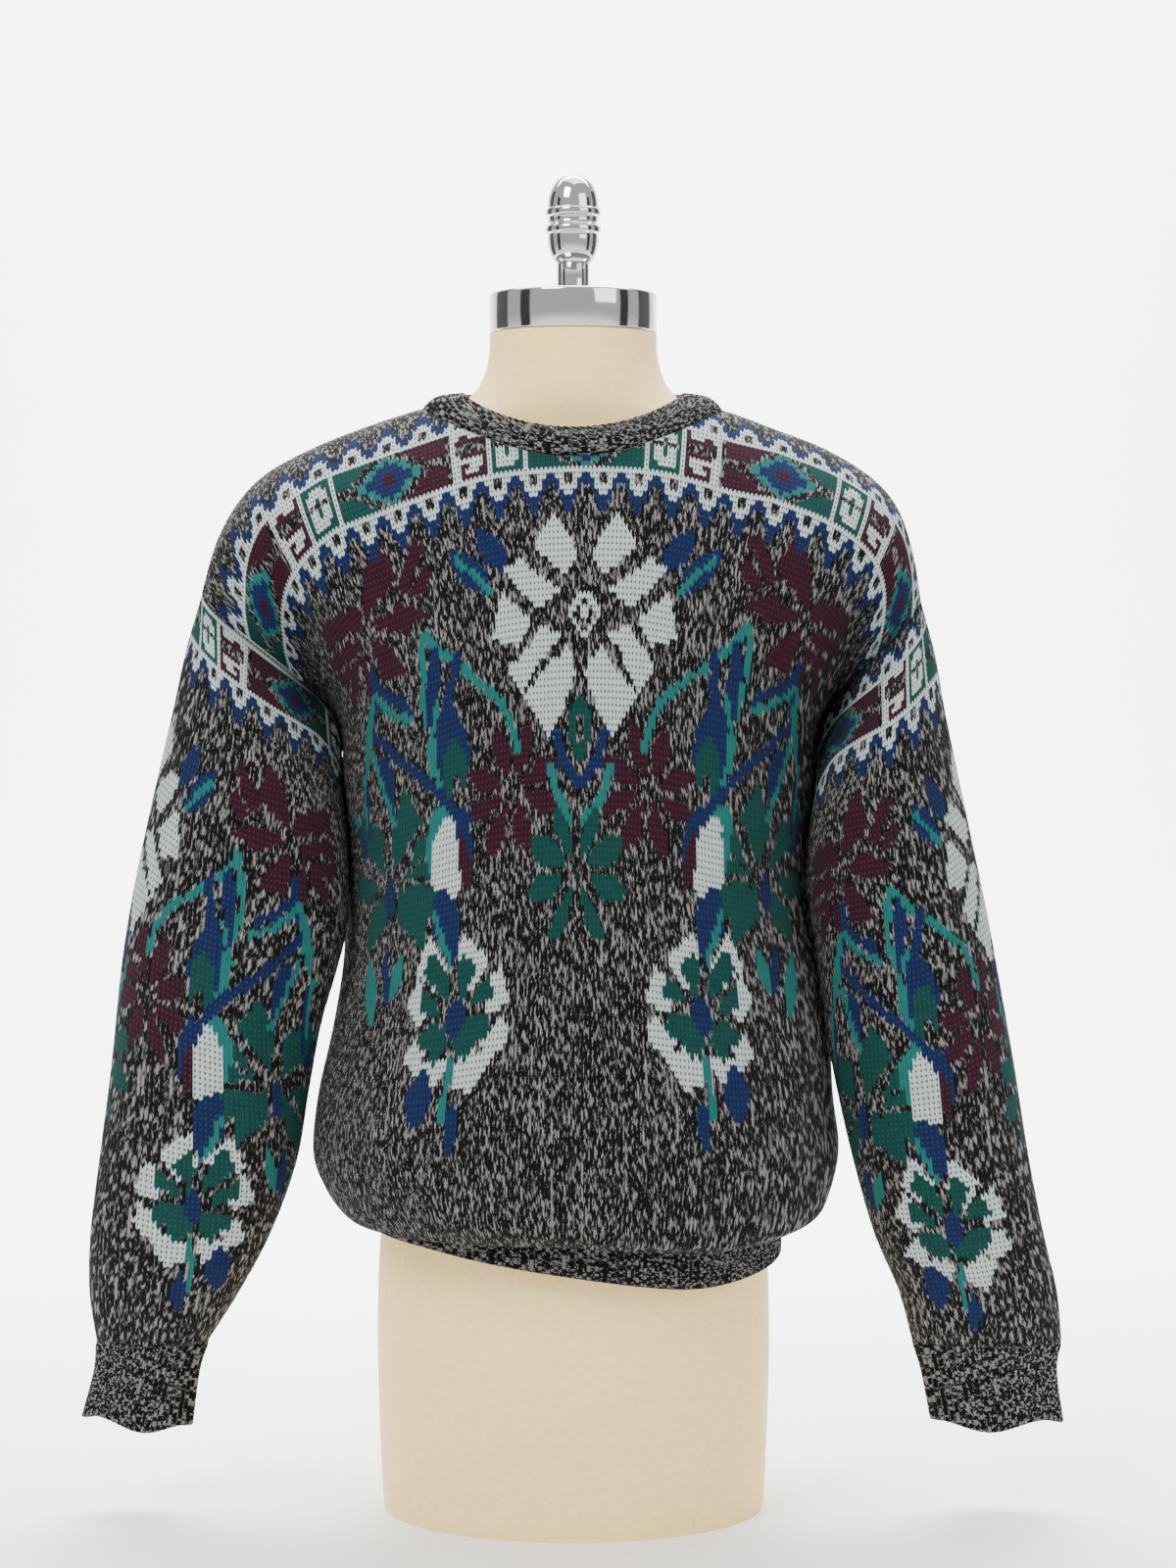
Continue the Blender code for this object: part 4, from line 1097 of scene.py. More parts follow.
@dataclass
class KnitPanel:
    """Front or back of the sweater, knitted in one piece with the shoulder band."""

    side: str
    relief: float = 0.00028
    slant: float = 0.62
    # how far the band sags below its flat place: distance from the middle, then metres
    sag: tuple[tuple[float, float], ...] = (
        (-0.325, 0.040), (-0.285, 0.035), (-0.235, 0.016), (-0.185, 0.001), (-0.130, -0.002),
        (0.000, 0.000), (0.117, -0.008), (0.150, -0.014), (0.200, -0.010), (0.260, -0.002), (0.325, 0.004),
    )
    # share of that sag on the back, the level where it begins, and the way down to all of it
    back_sag: float = 0.3
    sag_level: float = 0.40
    sag_fade: float = 0.24
    # rows above the shoulder that the deepest sag needs
    rows_above: int = 11
    # a stitch ends at the panel's upper edge when less than this of it is left
    edge_ease: float = 0.0004
    # depth below the shoulder, then stitches that the front's motifs lie to the right of its middle
    lean: tuple[tuple[float, float], ...] = ((0.20, 3.0), (0.30, 2.0), (0.40, 1.0))
    # depth below the shoulder, then how far the motifs are spread where the cloth is drawn in
    spread: tuple[tuple[float, float], ...] = (
        (0.15, 1.09), (0.25, 1.10), (0.33, 1.08), (0.40, 1.04), (0.47, 1.00),
    )

    def build(self) -> bpy.types.Object:
        """Lay out the stitches on the panel's skin.

        Returns:
            The piece.
        """
        wales = round(2.0 * PANEL_HALF / STITCH_WIDTH)
        rows = round(PANEL_LENGTH / STITCH_HEIGHT) + self.rows_above
        columns = wales * 2 + 1
        skin, ends = BODY.skin(self.side, columns)
        k = np.arange(columns)[:, None]
        r = np.arange(rows + 1)[None, :]
        flat_x = k * STITCH_WIDTH / 2 - PANEL_HALF
        level = PANEL_LENGTH - (r + self.slant * (k % 2 == 0)) * STITCH_HEIGHT
        table = np.array(self.sag)
        sag = np.interp(flat_x[:, 0], table[:, 0], table[:, 1])[:, None]
        if self.side == "back":
            sag = self.back_sag * sag
        fade = np.clip((self.sag_level - level) / self.sag_fade, 0.0, 1.0)
        depth = level + sag * fade * fade * (3.0 - 2.0 * fade)
        depth[:, 0] = PANEL_LENGTH
        stop = ((1.0 - ends) * PANEL_LENGTH)[:, None]
        inside = depth > stop + self.edge_ease
        top = np.argmax(~inside, axis=1)[:, None]
        top = np.where(inside.all(axis=1)[:, None], rows, top)
        depth = np.where(r >= top, stop, depth)
        keys = k * (rows + 1) + np.minimum(r, top)
        along = 1.0 - depth / PANEL_LENGTH
        around = np.broadcast_to(k / (columns - 1), along.shape)
        points, normals = skin.at(along, around)
        edge = (k == 0) | (k == columns - 1) | (r == 0) | (r >= top)
        rise = np.where(edge, 0.0, np.where(k % 2 == 0, -self.relief, self.relief * CREST))
        outer = points + normals * rise[..., None]
        normals = self.settle(points, normals, r >= top, along)
        stitch = np.stack([np.broadcast_to(k / 2, along.shape), np.broadcast_to(r, along.shape)], axis=-1)
        centre = (np.arange(wales) + 0.5) * STITCH_WIDTH - PANEL_HALF
        down = PANEL_LENGTH - (np.arange(rows) + 0.5) * STITCH_HEIGHT
        across, down = np.meshgrid(centre, down, indexing="ij")
        if self.side == "front":
            across = across - np.round(np.interp(down, *zip(*self.lean))) * STITCH_WIDTH
        scale = np.interp(down, *zip(*self.spread))
        yarns = MotifChart(np.abs(across), down, motif_scale=scale).work()
        return StitchMesh("front_panel" if self.side == "front" else "back_panel", outer,
                          points - normals * CLOTH, keys, stitch, yarns, self.side == "back").build()

    def settle(self, points: np.ndarray, normals: np.ndarray, top: np.ndarray,
               along: np.ndarray) -> np.ndarray:
        """Keep the side and shoulder edges on the middle plane, so that both panels meet there.

        Args:
            points: Outer points, changed in place.
            normals: Their normals.
            top: Which of them lie on the upper edge.
            along: Shares of the panel's length.

        Returns:
            The settled normals.
        """
        normals = normals.copy()
        middle = -SEAM / 2 if self.side == "front" else SEAM / 2
        for column in (0, -1):
            low = points[column, :, 2] < UNDERARM + 0.001
            points[column, low, 1] = middle
            normals[column, low, 1] = 0.0
        shoulder = top & (along > 0.9999)
        points[shoulder, 1] = middle
        normals[shoulder, 1] = 0.0
        return unit(normals)


@dataclass
class KnitSleeve:
    """Sleeve knitted flat and sewn under the arm, tapering to the cuff."""

    shape: SleeveShape
    band_drop: float
    motif_drop: float
    # depth below the armhole, then flat width of the sleeve there
    cut: tuple[tuple[float, float], ...]
    relief: float = 0.00028
    slant: float = 0.62
    length: float = 0.56
    motif_scale: float = 0.80
    # how far the seam and the ends lie under the skin
    seam_ease: float = 0.0001
    # number of the first row; the others count down from it, so that the stitches point upward
    first_row: int = 400

    def build(self) -> bpy.types.Object:
        """Lay out the stitches on the sleeve's skin.

        Returns:
            The piece.
        """
        skin = self.shape.skin(BODY)
        rows = round(self.length / STITCH_HEIGHT)
        half = math.ceil(self.cut[0][1] / 2 / STITCH_WIDTH)
        k = np.arange(-2 * half, 2 * half + 1)[:, None]
        r = np.arange(rows + 1)[None, :]
        down = (r + self.slant * (k % 2 != 0)) * STITCH_HEIGHT
        down = np.where(r == rows, self.length, np.where(r == 0, 0.0, down))
        widths = np.array(self.cut)
        wide = np.interp(r * STITCH_HEIGHT, widths[:, 0], widths[:, 1]) / 2
        flat_x = k * STITCH_WIDTH / 2
        limit = np.ceil(wide / (STITCH_WIDTH / 2)).astype(int)
        flat_x = np.clip(flat_x, -wide, wide)
        flat_x = np.where(k >= limit, wide, np.where(k <= -limit, -wide, flat_x))
        clamped = np.clip(k, -limit, limit)
        keys = (clamped + 2 * half) * (rows + 1) + r
        around = 0.5 + flat_x / (2.0 * wide)
        along = np.minimum(down / self.length, 1.0)
        points, normals = skin.at(along, around)
        edge = (np.abs(k) >= limit) | (r == 0) | (r == rows)
        rise = np.where(edge, -self.seam_ease, np.where(k % 2 == 0, -self.relief, self.relief * CREST))
        outer = points + normals * rise[..., None]
        stitch = np.stack([np.broadcast_to(clamped / 2 + half, along.shape),
                           np.broadcast_to(self.first_row - r, along.shape)], axis=-1)
        centre = (np.arange(2 * half) + 0.5 - half) * STITCH_WIDTH
        level = (np.arange(rows) + 0.5) * STITCH_HEIGHT
        across, level = np.meshgrid(np.abs(centre), level, indexing="ij")
        chart = MotifChart(across, level, self.band_drop, self.motif_drop, motif_scale=self.motif_scale)
        yarns = chart.work()
        inner = points - normals * CLOTH
        return StitchMesh("sleeve_" + self.shape.side + "_knit", outer, inner, keys, stitch, yarns,
                          self.flip(points, normals)).build()

    @staticmethod
    def flip(points: np.ndarray, normals: np.ndarray) -> bool:
        """Whether faces in grid order would look inward."""
        column, row, reach = points.shape[0] // 2, 60, 4
        across = points[column + reach, row] - points[column - reach, row]
        along = points[column, row + reach] - points[column, row - reach]
        return bool(np.dot(np.cross(across, along), normals[column, row]) < 0.0)


@dataclass
class RibBand:
    """Ribbed band knitted round: fine ribs outside, a rolled free edge, a plain inside."""

    name: str
    seam: np.ndarray
    stations: tuple[np.ndarray, ...]
    ribs: int
    rows: int
    wave: float = 0.00075
    points_a_rib: int = 4

    def build(self) -> bpy.types.Object:
        """Loft the band from its seam to its free edge and back inside.

        Returns:
            The piece.
        """
        count = self.ribs * self.points_a_rib
        shares = np.linspace(0.0, 1.0, count + 1)[:-1, None]
        loops = []
        for loop in (self.seam,) + self.stations:
            closed = np.concatenate([loop, loop[:1]])
            loops.append(resample(closed[:, None, :], shares)[:, 0])
        curve = spline(np.array(loops), 12)
        rows = np.repeat(np.linspace(0.0, 1.0, self.rows + 1)[:, None], count, axis=1)
        outer = resample(curve, rows)
        normals = grid_normals(outer, closed=True)
        centre = outer.mean(axis=1, keepdims=True)
        if np.sum(normals * (outer - centre)) < 0.0:
            normals = -normals
        phase = 2.0 * math.pi * np.arange(count) / self.points_a_rib
        height = self.wave * np.cos(phase)[None, :] * np.ones((self.rows + 1, 1))
        height[0] = np.minimum(height[0], 0.0)
        ribbed = outer + normals * height[..., None]
        edge = unit(outer[-1] - outer[-2])
        layers = list(ribbed)
        for angle in (45.0, 90.0, 135.0):
            turn = math.radians(angle)
            layers.append(outer[-1] - normals[-1] * CLOTH / 2 * (1.0 - math.cos(turn))
                          + edge * CLOTH / 2 * math.sin(turn)
                          + normals[-1] * (height[-1] * math.cos(turn / 2))[:, None] * 0.6)
        inside = outer - normals * CLOTH
        layers += list(inside[::-1])
        return self.shell(np.array(layers), count)

    def shell(self, layers: np.ndarray, count: int) -> bpy.types.Object:
        """Closed ring-shaped mesh through layers of points.

        Args:
            layers: Points (layers, count, 3), round the band's section.
            count: Points round the band.

        Returns:
            The object.
        """
        total = len(layers)
        index = np.arange(total * count).reshape(total, count)
        below = np.roll(index, -1, axis=0)
        faces = np.stack([index, np.roll(index, -1, axis=1), np.roll(below, -1, axis=1), below], axis=-1)
        faces = faces.reshape(-1, 4)
        flat = layers.reshape(-1, 3)
        corner = flat[faces]
        volume = np.sum(np.cross(corner[:, 0], corner[:, 1]) * corner[:, 2]
                        + np.cross(corner[:, 0], corner[:, 2]) * corner[:, 3])
        if volume < 0.0:
            faces = faces[:, ::-1]
        mesh = bpy.data.meshes.new(self.name)
        mesh.from_pydata(flat.tolist(), [], faces.tolist())
        wale = np.broadcast_to(np.arange(count) / self.points_a_rib, (total, count))
        row = np.broadcast_to(np.arange(total)[:, None] * 1.0, (total, count))
        StitchMesh.dress(mesh, np.zeros(len(faces), dtype=int),
                         np.stack([wale, row], axis=-1).reshape(-1, 2))
        return add(self.name, mesh)


def hem_band() -> bpy.types.Object:
    """Build the hem band, hanging from the lower edge of the panels.

    Returns:
        The piece.
    """
    share = np.linspace(-1.0, 1.0, 181)
    front = press(BODY.lower(share, "front")[:1], BODY.folds, "front")[0]
    back = press(BODY.lower(share, "back")[:1], BODY.folds, "back")[0]
    seam = np.concatenate([front[:-1], back[::-1][:-1]])
    stations = []
    for drop in (0.5, 1.0):
        loop = seam.copy()
        loop[:, 2] -= BODY.hem_height * drop
        stations.append(loop)
    seam[:, 2] -= SEAM
    return RibBand("hem_rib", seam, tuple(stations), 160, 14).build()


def cuff_band(shape: SleeveShape) -> bpy.types.Object:
    """Build one cuff, its free edge waving a little.

    Args:
        shape: The sleeve that it ends.

    Returns:
        The piece.
    """
    loops = [shape.ring(ring, 241)[:-1] for ring in shape.cuff_rings]
    turn = np.linspace(0.0, 2.0 * math.pi, 240, endpoint=False)
    loops[-1][:, 2] += 0.0035 * np.sin(3.0 * turn + 0.6)
    loops[0][:, 2] -= SEAM / 2
    return RibBand("cuff_" + shape.side + "_rib", loops[0], tuple(loops[1:]), 52, 14).build()


@dataclass
class Neckband:
    """Doubled ribbed neckband from the neckline seam to its free edge."""

    half_width: float = 0.0815
    front: float = 0.0800
    back: float = 0.0800
    front_z: float = 0.7925
    side_z: float = 0.8215
    back_z: float = 0.8270
    fullness: float = 0.0045

    def seam(self) -> np.ndarray:
        """Neckline along the top edges of both panels, front middle first.

        Returns:
            The loop of points.
        """
        columns = 397
        halves = []
        for side in ("front", "back"):
            skin, ends = BODY.skin(side, columns)
            share = np.linspace(0.0, 1.0, columns)
            flat = (share * 2.0 - 1.0) * PANEL_HALF
            chosen = np.abs(flat) <= NECK_HALF
            points, _ = skin.at(ends[chosen], share[chosen])
            halves.append(points)
        front, back = halves
        middle = len(front) // 2
        return np.concatenate([front[middle:], back[::-1][1:-1], front[:middle]])

    def top(self, turn: np.ndarray) -> np.ndarray:
        """Free upper edge at turns round the neck."""
        cosine = np.cos(turn)
        ahead = cosine >= 0.0
        y = -np.sign(cosine) * np.abs(cosine) ** 0.78 * np.where(ahead, self.front, self.back)
        level = np.abs(cosine) ** 1.6
        z = self.side_z + level * (np.where(ahead, self.front_z, self.back_z) - self.side_z)
        return np.stack([self.half_width * np.sin(turn), y, z], axis=1)

    def build(self) -> bpy.types.Object:
        """Build the band.

        Returns:
            The piece.
        """
        seam = self.seam()
        top = self.top(np.arctan2(seam[:, 0] / NECK_HALF, -seam[:, 1] / BODY.neckline["front"]))
        middle = (seam + top) / 2
        middle += self.fullness * unit(middle - np.array([0.0, -0.005, 0.74]))
        climb = unit(middle - seam)
        return RibBand("neck_rib", seam + climb * 0.0002, (middle, top), 100, 10).build()


@dataclass
class Turned:
    """Turned solid: rows of points round Z, closed at both ends."""

    name: str
    profile: list[tuple[float, float]]
    segments: int

    def build(self) -> bpy.types.Object:
        """Revolve the profile, from the top down.

        Returns:
            The piece.
        """
        turn = np.linspace(0.0, 2.0 * math.pi, self.segments, endpoint=False)
        points: list[tuple[float, float, float]] = [(0.0, 0.0, self.profile[0][1])]
        for radius, height in self.profile[1:-1]:
            points += [(radius * math.sin(a), -radius * math.cos(a), height) for a in turn]
        points.append((0.0, 0.0, self.profile[-1][1]))
        faces: list[tuple[int, ...]] = []
        count = self.segments
        last = len(points) - 1
        for i in range(count):
            j = (i + 1) % count
            faces.append((0, 1 + i, 1 + j))
            for row in range(len(self.profile) - 3):
                a = 1 + row * count
                faces.append((a + i, a + count + i, a + count + j, a + j))
            a = 1 + (len(self.profile) - 3) * count
            faces.append((a + i, last, a + j))
        mesh = bpy.data.meshes.new(self.name)
        mesh.from_pydata(points, [], faces)
        for polygon in mesh.polygons:
            polygon.use_smooth = True
        mesh.update()
        return add(self.name, mesh)


@dataclass
class NeckFurniture:
    """Polished neck cap, with the stem and acorn knob on it."""

    cap_radius: float = 0.0614
    cap_low: float = 0.865
    cap_top: float = 0.894
    cap_edge: float = 0.0025
    groove: float = 0.0188
    ring: float = 0.0205
    ring_half: float = 0.0030
    ring_heights: tuple[float, float] = (0.9400, 0.9525)
    dome_low: float = 0.9560
    top: float = 0.980
    stem: float = 0.0119
    bowl_low: float = 0.9165

    def cap(self) -> bpy.types.Object:
        """Build the cap with rounded edges and a faint rim."""
        edge = self.cap_edge
        corner = self.cap_radius - edge
        rows: list[tuple[float, float]] = [(0.0, self.cap_top), (corner * 0.5, self.cap_top),
                                           (corner - 0.0005, self.cap_top)]
        for degrees in range(0, 91, 15):
            angle = math.radians(degrees)
            rows.append((corner + edge * math.sin(angle), self.cap_top - edge + edge * math.cos(angle)))
        rows += [(self.cap_radius, self.cap_low + 0.0012),
                 (self.cap_radius - 0.0004, self.cap_low + 0.0004),
                 (self.cap_radius - 0.0012, self.cap_low), (0.02, self.cap_low), (0.0, self.cap_low)]
        return Turned("polished_cap", rows, 128).build()

    def knob(self) -> bpy.types.Object:
        """Build the stem and knob, from the top down."""
        rise = self.top - self.dome_low
        rows: list[tuple[float, float]] = [(0.0, self.top)]
        for degrees in range(84, -1, -6):
            angle = math.radians(degrees)
            rows.append((self.groove * math.cos(angle) ** 0.75, self.dome_low + rise * math.sin(angle)))
        for height in reversed(self.ring_heights):
            for degrees in range(90, -91, -20):
                angle = math.radians(degrees)
                bulge = self.ring - self.groove
                rows.append((self.groove + bulge * math.cos(angle) ** 0.6,
                             height + self.ring_half * math.sin(angle)))
            rows.append((self.groove - 0.0003, height - self.ring_half - 0.0003))
        bowl_top = self.ring_heights[0] - self.ring_half - 0.0006
        for degrees in range(6, 85, 8):
            angle = math.radians(degrees)
            radius = self.stem + (self.groove - self.stem) * math.cos(angle)
            rows.append((radius, bowl_top - (bowl_top - self.bowl_low) * math.sin(angle)))
        rows += [(self.stem, self.bowl_low - 0.0012), (self.stem, self.cap_top + 0.0020),
                 (self.stem + 0.0006, self.cap_top + 0.0004), (0.0, self.cap_top + 0.0004)]
        return Turned("polished_knob", rows, 96).build()


@dataclass
class DressForm:
    """Limbless torso in linen, closed and flat below, with the neck on top."""

    # height, half width, depth to the front and to the back
    rings: tuple[tuple[float, float, float, float], ...] = (
        (0.000, 0.138, 0.104, 0.098), (0.006, 0.141, 0.107, 0.101), (0.070, 0.144, 0.114, 0.108),
        (0.140, 0.145, 0.119, 0.114), (0.210, 0.142, 0.116, 0.112), (0.280, 0.132, 0.106, 0.100),
        (0.350, 0.126, 0.100, 0.092), (0.420, 0.132, 0.106, 0.096), (0.490, 0.142, 0.116, 0.106),
        (0.560, 0.150, 0.120, 0.114), (0.620, 0.160, 0.114, 0.116), (0.680, 0.172, 0.102, 0.112),
        (0.725, 0.181, 0.088, 0.104), (0.758, 0.1835, 0.078, 0.095), (0.7763, 0.1720, 0.067, 0.088),
        (0.7911, 0.1450, 0.061, 0.082), (0.8025, 0.1100, 0.061, 0.077), (0.8115, 0.0850, 0.063, 0.073),
        (0.823, 0.0715, 0.0640, 0.0690), (0.836, 0.0645, 0.0635, 0.0640), (0.850, 0.0615, 0.0615, 0.0615),
        (0.8647, 0.0608, 0.0608, 0.0608),
    )
    segments: int = 128

    def build(self) -> bpy.types.Object:
        """Build the torso with its upper and lower edges turned in.

        Returns:
            The piece.
        """
        table = np.array(self.rings)
        fine = spline(table, 7)
        fine[:, 1:] = np.minimum(fine[:, 1:], np.repeat(table[:, 1:], 7, axis=0)[:len(fine)] + 0.02)
        turn = np.linspace(0.0, 2.0 * math.pi, self.segments, endpoint=False)
        rows = []
        for height, half_width, front, back in fine:
            depth = np.where(np.cos(turn) > 0.0, front, back)
            x, y = superellipse(turn, half_width, depth, 2.0)
            rows.append(np.stack([x, y, np.full_like(x, height)], axis=1))
        low, high = rows[0].copy(), rows[-1].copy()
        low[:, :2] *= 0.985
        high[:, :2] *= 0.97
        rows = [low] + rows[1:] + [high]
        grid = np.array(rows)
        count = self.segments
        index = np.arange(grid.shape[0] * count).reshape(grid.shape[0], count)
        faces = np.stack([index[:-1], np.roll(index[:-1], -1, axis=1), np.roll(index[1:], -1, axis=1),
                          index[1:]], axis=-1).reshape(-1, 4).tolist()
        faces.append(index[0][::-1].tolist())
        faces.append(index[-1].tolist())
        mesh = bpy.data.meshes.new("linen_torso")
        mesh.from_pydata(grid.reshape(-1, 3).tolist(), [], faces)
        mesh.polygons.foreach_set("use_smooth", np.array([True] * (len(faces) - 2) + [False] * 2))
        mesh.update()
        return add("linen_torso", mesh)


class Wiring:
    """Short way to add and link nodes in a tree."""

    def __init__(self, tree: bpy.types.NodeTree) -> None:
        """Keep the tree."""
        self.tree = tree

    def node(self, kind: str, **settings: object) -> bpy.types.Node:
        """Add a node and set its properties, or its inputs by number as in0, in1.

        Args:
            kind: Node type.
            **settings: Properties, and inputs as values or sockets.

        Returns:
            The node.
        """
        made = self.tree.nodes.new(kind)
        for key, value in settings.items():
            if not key.startswith("in"):
                setattr(made, key, value)
        for key, value in settings.items():
            if key.startswith("in"):
                socket = made.inputs[int(key[2:])]
                if isinstance(value, bpy.types.NodeSocket):
                    self.tree.links.new(value, socket)
                else:
                    socket.default_value = value
        return made

    def sum(self, operation: str, *values: object) -> bpy.types.NodeSocket:
        """Add a Math node and give its result.

        Args:
            operation: The node's operation.
            *values: Its inputs, as numbers or sockets.

        Returns:
            The output socket.
        """
        settings = {f"in{index}": value for index, value in enumerate(values)}
        return self.node("ShaderNodeMath", operation=operation, **settings).outputs[0]

    def mix(self, share: object, first: object, second: object) -> bpy.types.NodeSocket:
        """Mix two colours by a share and give the result."""
        made = self.node("ShaderNodeMix", data_type="RGBA")
        for index, value in ((0, share), (6, first), (7, second)):
            if isinstance(value, bpy.types.NodeSocket):
                self.tree.links.new(value, made.inputs[index])
            else:
                made.inputs[index].default_value = value
        return made.outputs[2]

    def darken(self, colour: bpy.types.NodeSocket, tone: bpy.types.NodeSocket) -> bpy.types.NodeSocket:
        """Multiply a colour by a tone and give the result."""
        grey = self.node("ShaderNodeCombineColor", in0=tone, in1=tone, in2=tone)
        made = self.node("ShaderNodeMix", data_type="RGBA", blend_type="MULTIPLY")
        made.inputs[0].default_value = 1.0
        self.tree.links.new(colour, made.inputs[6])
        self.tree.links.new(grey.outputs[0], made.inputs[7])
        return made.outputs[2]


def group_tree(name: str, inputs: dict[str, tuple[str, object]], outputs: dict[str, str]
               ) -> tuple[bpy.types.NodeTree, Wiring, bpy.types.Node, bpy.types.Node]:
    """Start a shader node group with named sockets.

    Args:
        name: Name of the group.
        inputs: Socket type and value by name.
        outputs: Socket type by name.

    Returns:
        The tree, its wiring, and its input and output nodes.
    """
    tree = bpy.data.node_groups.new(name, "ShaderNodeTree")
    for label, (kind, value) in inputs.items():
        socket = tree.interface.new_socket(label, in_out="INPUT", socket_type=kind)
        socket.default_value = value
    for label, kind in outputs.items():
        tree.interface.new_socket(label, in_out="OUTPUT", socket_type=kind)
    wires = Wiring(tree)
    return tree, wires, wires.node("NodeGroupInput"), wires.node("NodeGroupOutput")


STREAK = (3.71, 0.45)     # noise from one leg to the next, and down a row, in the long streaks
FLECK = (1.15, 0.85)      # the same in the short flecks
FLECK_APART = 5.0         # keeps the flecks' noise apart from the streaks'
PLY = (0.55, 2.0)         # turns of the plies across a leg, and down a row
PLY_TONE = 0.035
PLY_RISE = 0.10
MARL_EDGE = 0.03          # softness of the edge between dark and light
GAP = (0.21, 0.20)        # half width and height of the gap at the foot of a V, in stitches
GAP_SHADE_SHARE = (0.38, 0.5)   # how strongly painted shade fills the gap in every yarn, and more in the pale ones
GAP_DEPTH = 0.5
PALE = 0.35               # tone from which a yarn is pale
# colours of the painted shade in the gaps, for dyed yarns and for pale ones
GAP_SHADE_DYED = (0.05, 0.05, 0.05, 1.0)
GAP_SHADE_PALE = (0.02, 0.02, 0.022, 1.0)
SHADE = (0.86, 0.5)       # tone of plain yarn, and its unevenness
LEG_SHADE = (0.55, 0.34)      # width and tone of the painted shade in the line between two legs


def knit_group() -> bpy.types.NodeTree:
    """Group for knitted yarn: marl streaks, painted shade in the gaps between the stitches and between the
    legs, and the legs' round relief.

    Returns:
        The group's tree.
    """
    tree, wires, start, end = group_tree(
        "knit_yarn",
        {"Yarn": ("NodeSocketColor", (0.5, 0.5, 0.5, 1.0)), "Marl": ("NodeSocketFloat", 1.0),
         "Dark": ("NodeSocketColor", (0.02, 0.02, 0.02, 1.0)),
         "Light": ("NodeSocketColor", (0.4, 0.4, 0.4, 1.0)),
         "Light Share": ("NodeSocketFloat", 0.5), "Fineness": ("NodeSocketFloat", 1.0)},
        {"Color": "NodeSocketColor", "Height": "NodeSocketFloat"})
    place = wires.node("ShaderNodeAttribute", attribute_name="wale").outputs["Vector"]
    split = wires.node("ShaderNodeSeparateXYZ", in0=place)
    u, v = split.outputs[0], split.outputs[1]
    legs = wires.sum("MULTIPLY", u, 2.0)
    leg = wires.sum("FLOOR", legs)
    part = wires.sum("FRACT", legs)
    side = wires.sum("FRACT", u)
    left = wires.sum("LESS_THAN", side, 0.5)
    # long streaks down one leg of each V, short flecks down the other
    fine = start.outputs["Fineness"]
    noises = []
    for over, (across, down), apart in ((leg, STREAK, 0.0), (legs, FLECK, FLECK_APART)):
        at = wires.node("ShaderNodeCombineXYZ", in0=wires.sum("MULTIPLY", over, across),
                        in1=wires.sum("MULTIPLY", v, wires.sum("MULTIPLY", fine, down)), in2=apart)
        noise = wires.node("ShaderNodeTexNoise", noise_dimensions="3D")
        tree.links.new(at.outputs[0], noise.inputs["Vector"])
        noise.inputs["Scale"].default_value = 1.0
        noise.inputs["Detail"].default_value = 1.0
        noise.inputs["Roughness"].default_value = 0.6
        noises.append(noise.outputs[0])
    blend = wires.sum("ADD", wires.sum("MULTIPLY", noises[0], left),
                      wires.sum("MULTIPLY", noises[1], wires.sum("SUBTRACT", 1.0, left)))
    # plies of the twisted yarn cross each leg at a slant
    plies = wires.sum("ADD", wires.sum("MULTIPLY", part, PLY[0]), wires.sum("MULTIPLY", v, PLY[1]))
    twist = wires.sum("SINE", wires.sum("MULTIPLY", plies, TURN))
    mixed = wires.sum("ADD", blend, wires.sum("MULTIPLY", twist, PLY_TONE))
    limit = wires.sum("SUBTRACT", 1.0, start.outputs["Light Share"])
    sharp = wires.node("ShaderNodeMapRange", in0=mixed, in1=wires.sum("SUBTRACT", limit, MARL_EDGE),
                       in2=wires.sum("ADD", limit, MARL_EDGE))
    marled = wires.mix(sharp.outputs[0], start.outputs["Dark"], start.outputs["Light"])
    # small gaps at the foot of each V are filled with painted shade, darker in the pale yarns
    foot = wires.sum("ABSOLUTE", wires.sum("SUBTRACT", side, 0.5))
    low = wires.sum("PINGPONG", v, 0.5)
    gap = wires.sum("MULTIPLY", wires.sum("LESS_THAN", foot, GAP[0]), wires.sum("LESS_THAN", low, GAP[1]))
    tone = wires.node("ShaderNodeSeparateColor", in0=start.outputs["Yarn"]).outputs[1]
    pale = wires.sum("GREATER_THAN", tone, PALE)
    gap_shade_colour = wires.mix(pale, GAP_SHADE_DYED, GAP_SHADE_PALE)
    gap_shade_weight = wires.sum("ADD", GAP_SHADE_SHARE[0], wires.sum("MULTIPLY", pale, GAP_SHADE_SHARE[1]))
    gap_shade_mask = wires.sum("MULTIPLY", gap, gap_shade_weight)
    uneven = wires.sum("MULTIPLY", wires.sum("ADD", blend, -0.5), SHADE[1])
    shade = wires.sum("ADD", SHADE[0], uneven)
    plain = wires.mix(gap_shade_mask, wires.darken(start.outputs["Yarn"], shade), gap_shade_colour)
    colour = wires.mix(start.outputs["Marl"], plain, marled)
    # round legs, with deep lines where they meet, and painted shade in those lines
    bow = wires.sum("MULTIPLY", wires.sum("MULTIPLY", part, wires.sum("SUBTRACT", 1.0, part)), 4.0)
    height = wires.sum("ADD", wires.sum("POWER", bow, 0.6), wires.sum("MULTIPLY", twist, PLY_RISE))
    height = wires.sum("SUBTRACT", height, wires.sum("MULTIPLY", gap, GAP_DEPTH))
    # painted shade darkens the colour where two legs meet
    leg_shade = wires.node("ShaderNodeMapRange", in0=bow, in1=0.0, in2=LEG_SHADE[0], in3=LEG_SHADE[1], in4=1.0)
    tree.links.new(wires.darken(colour, leg_shade.outputs[0]), end.inputs["Color"])
    tree.links.new(height, end.inputs["Height"])
    return tree


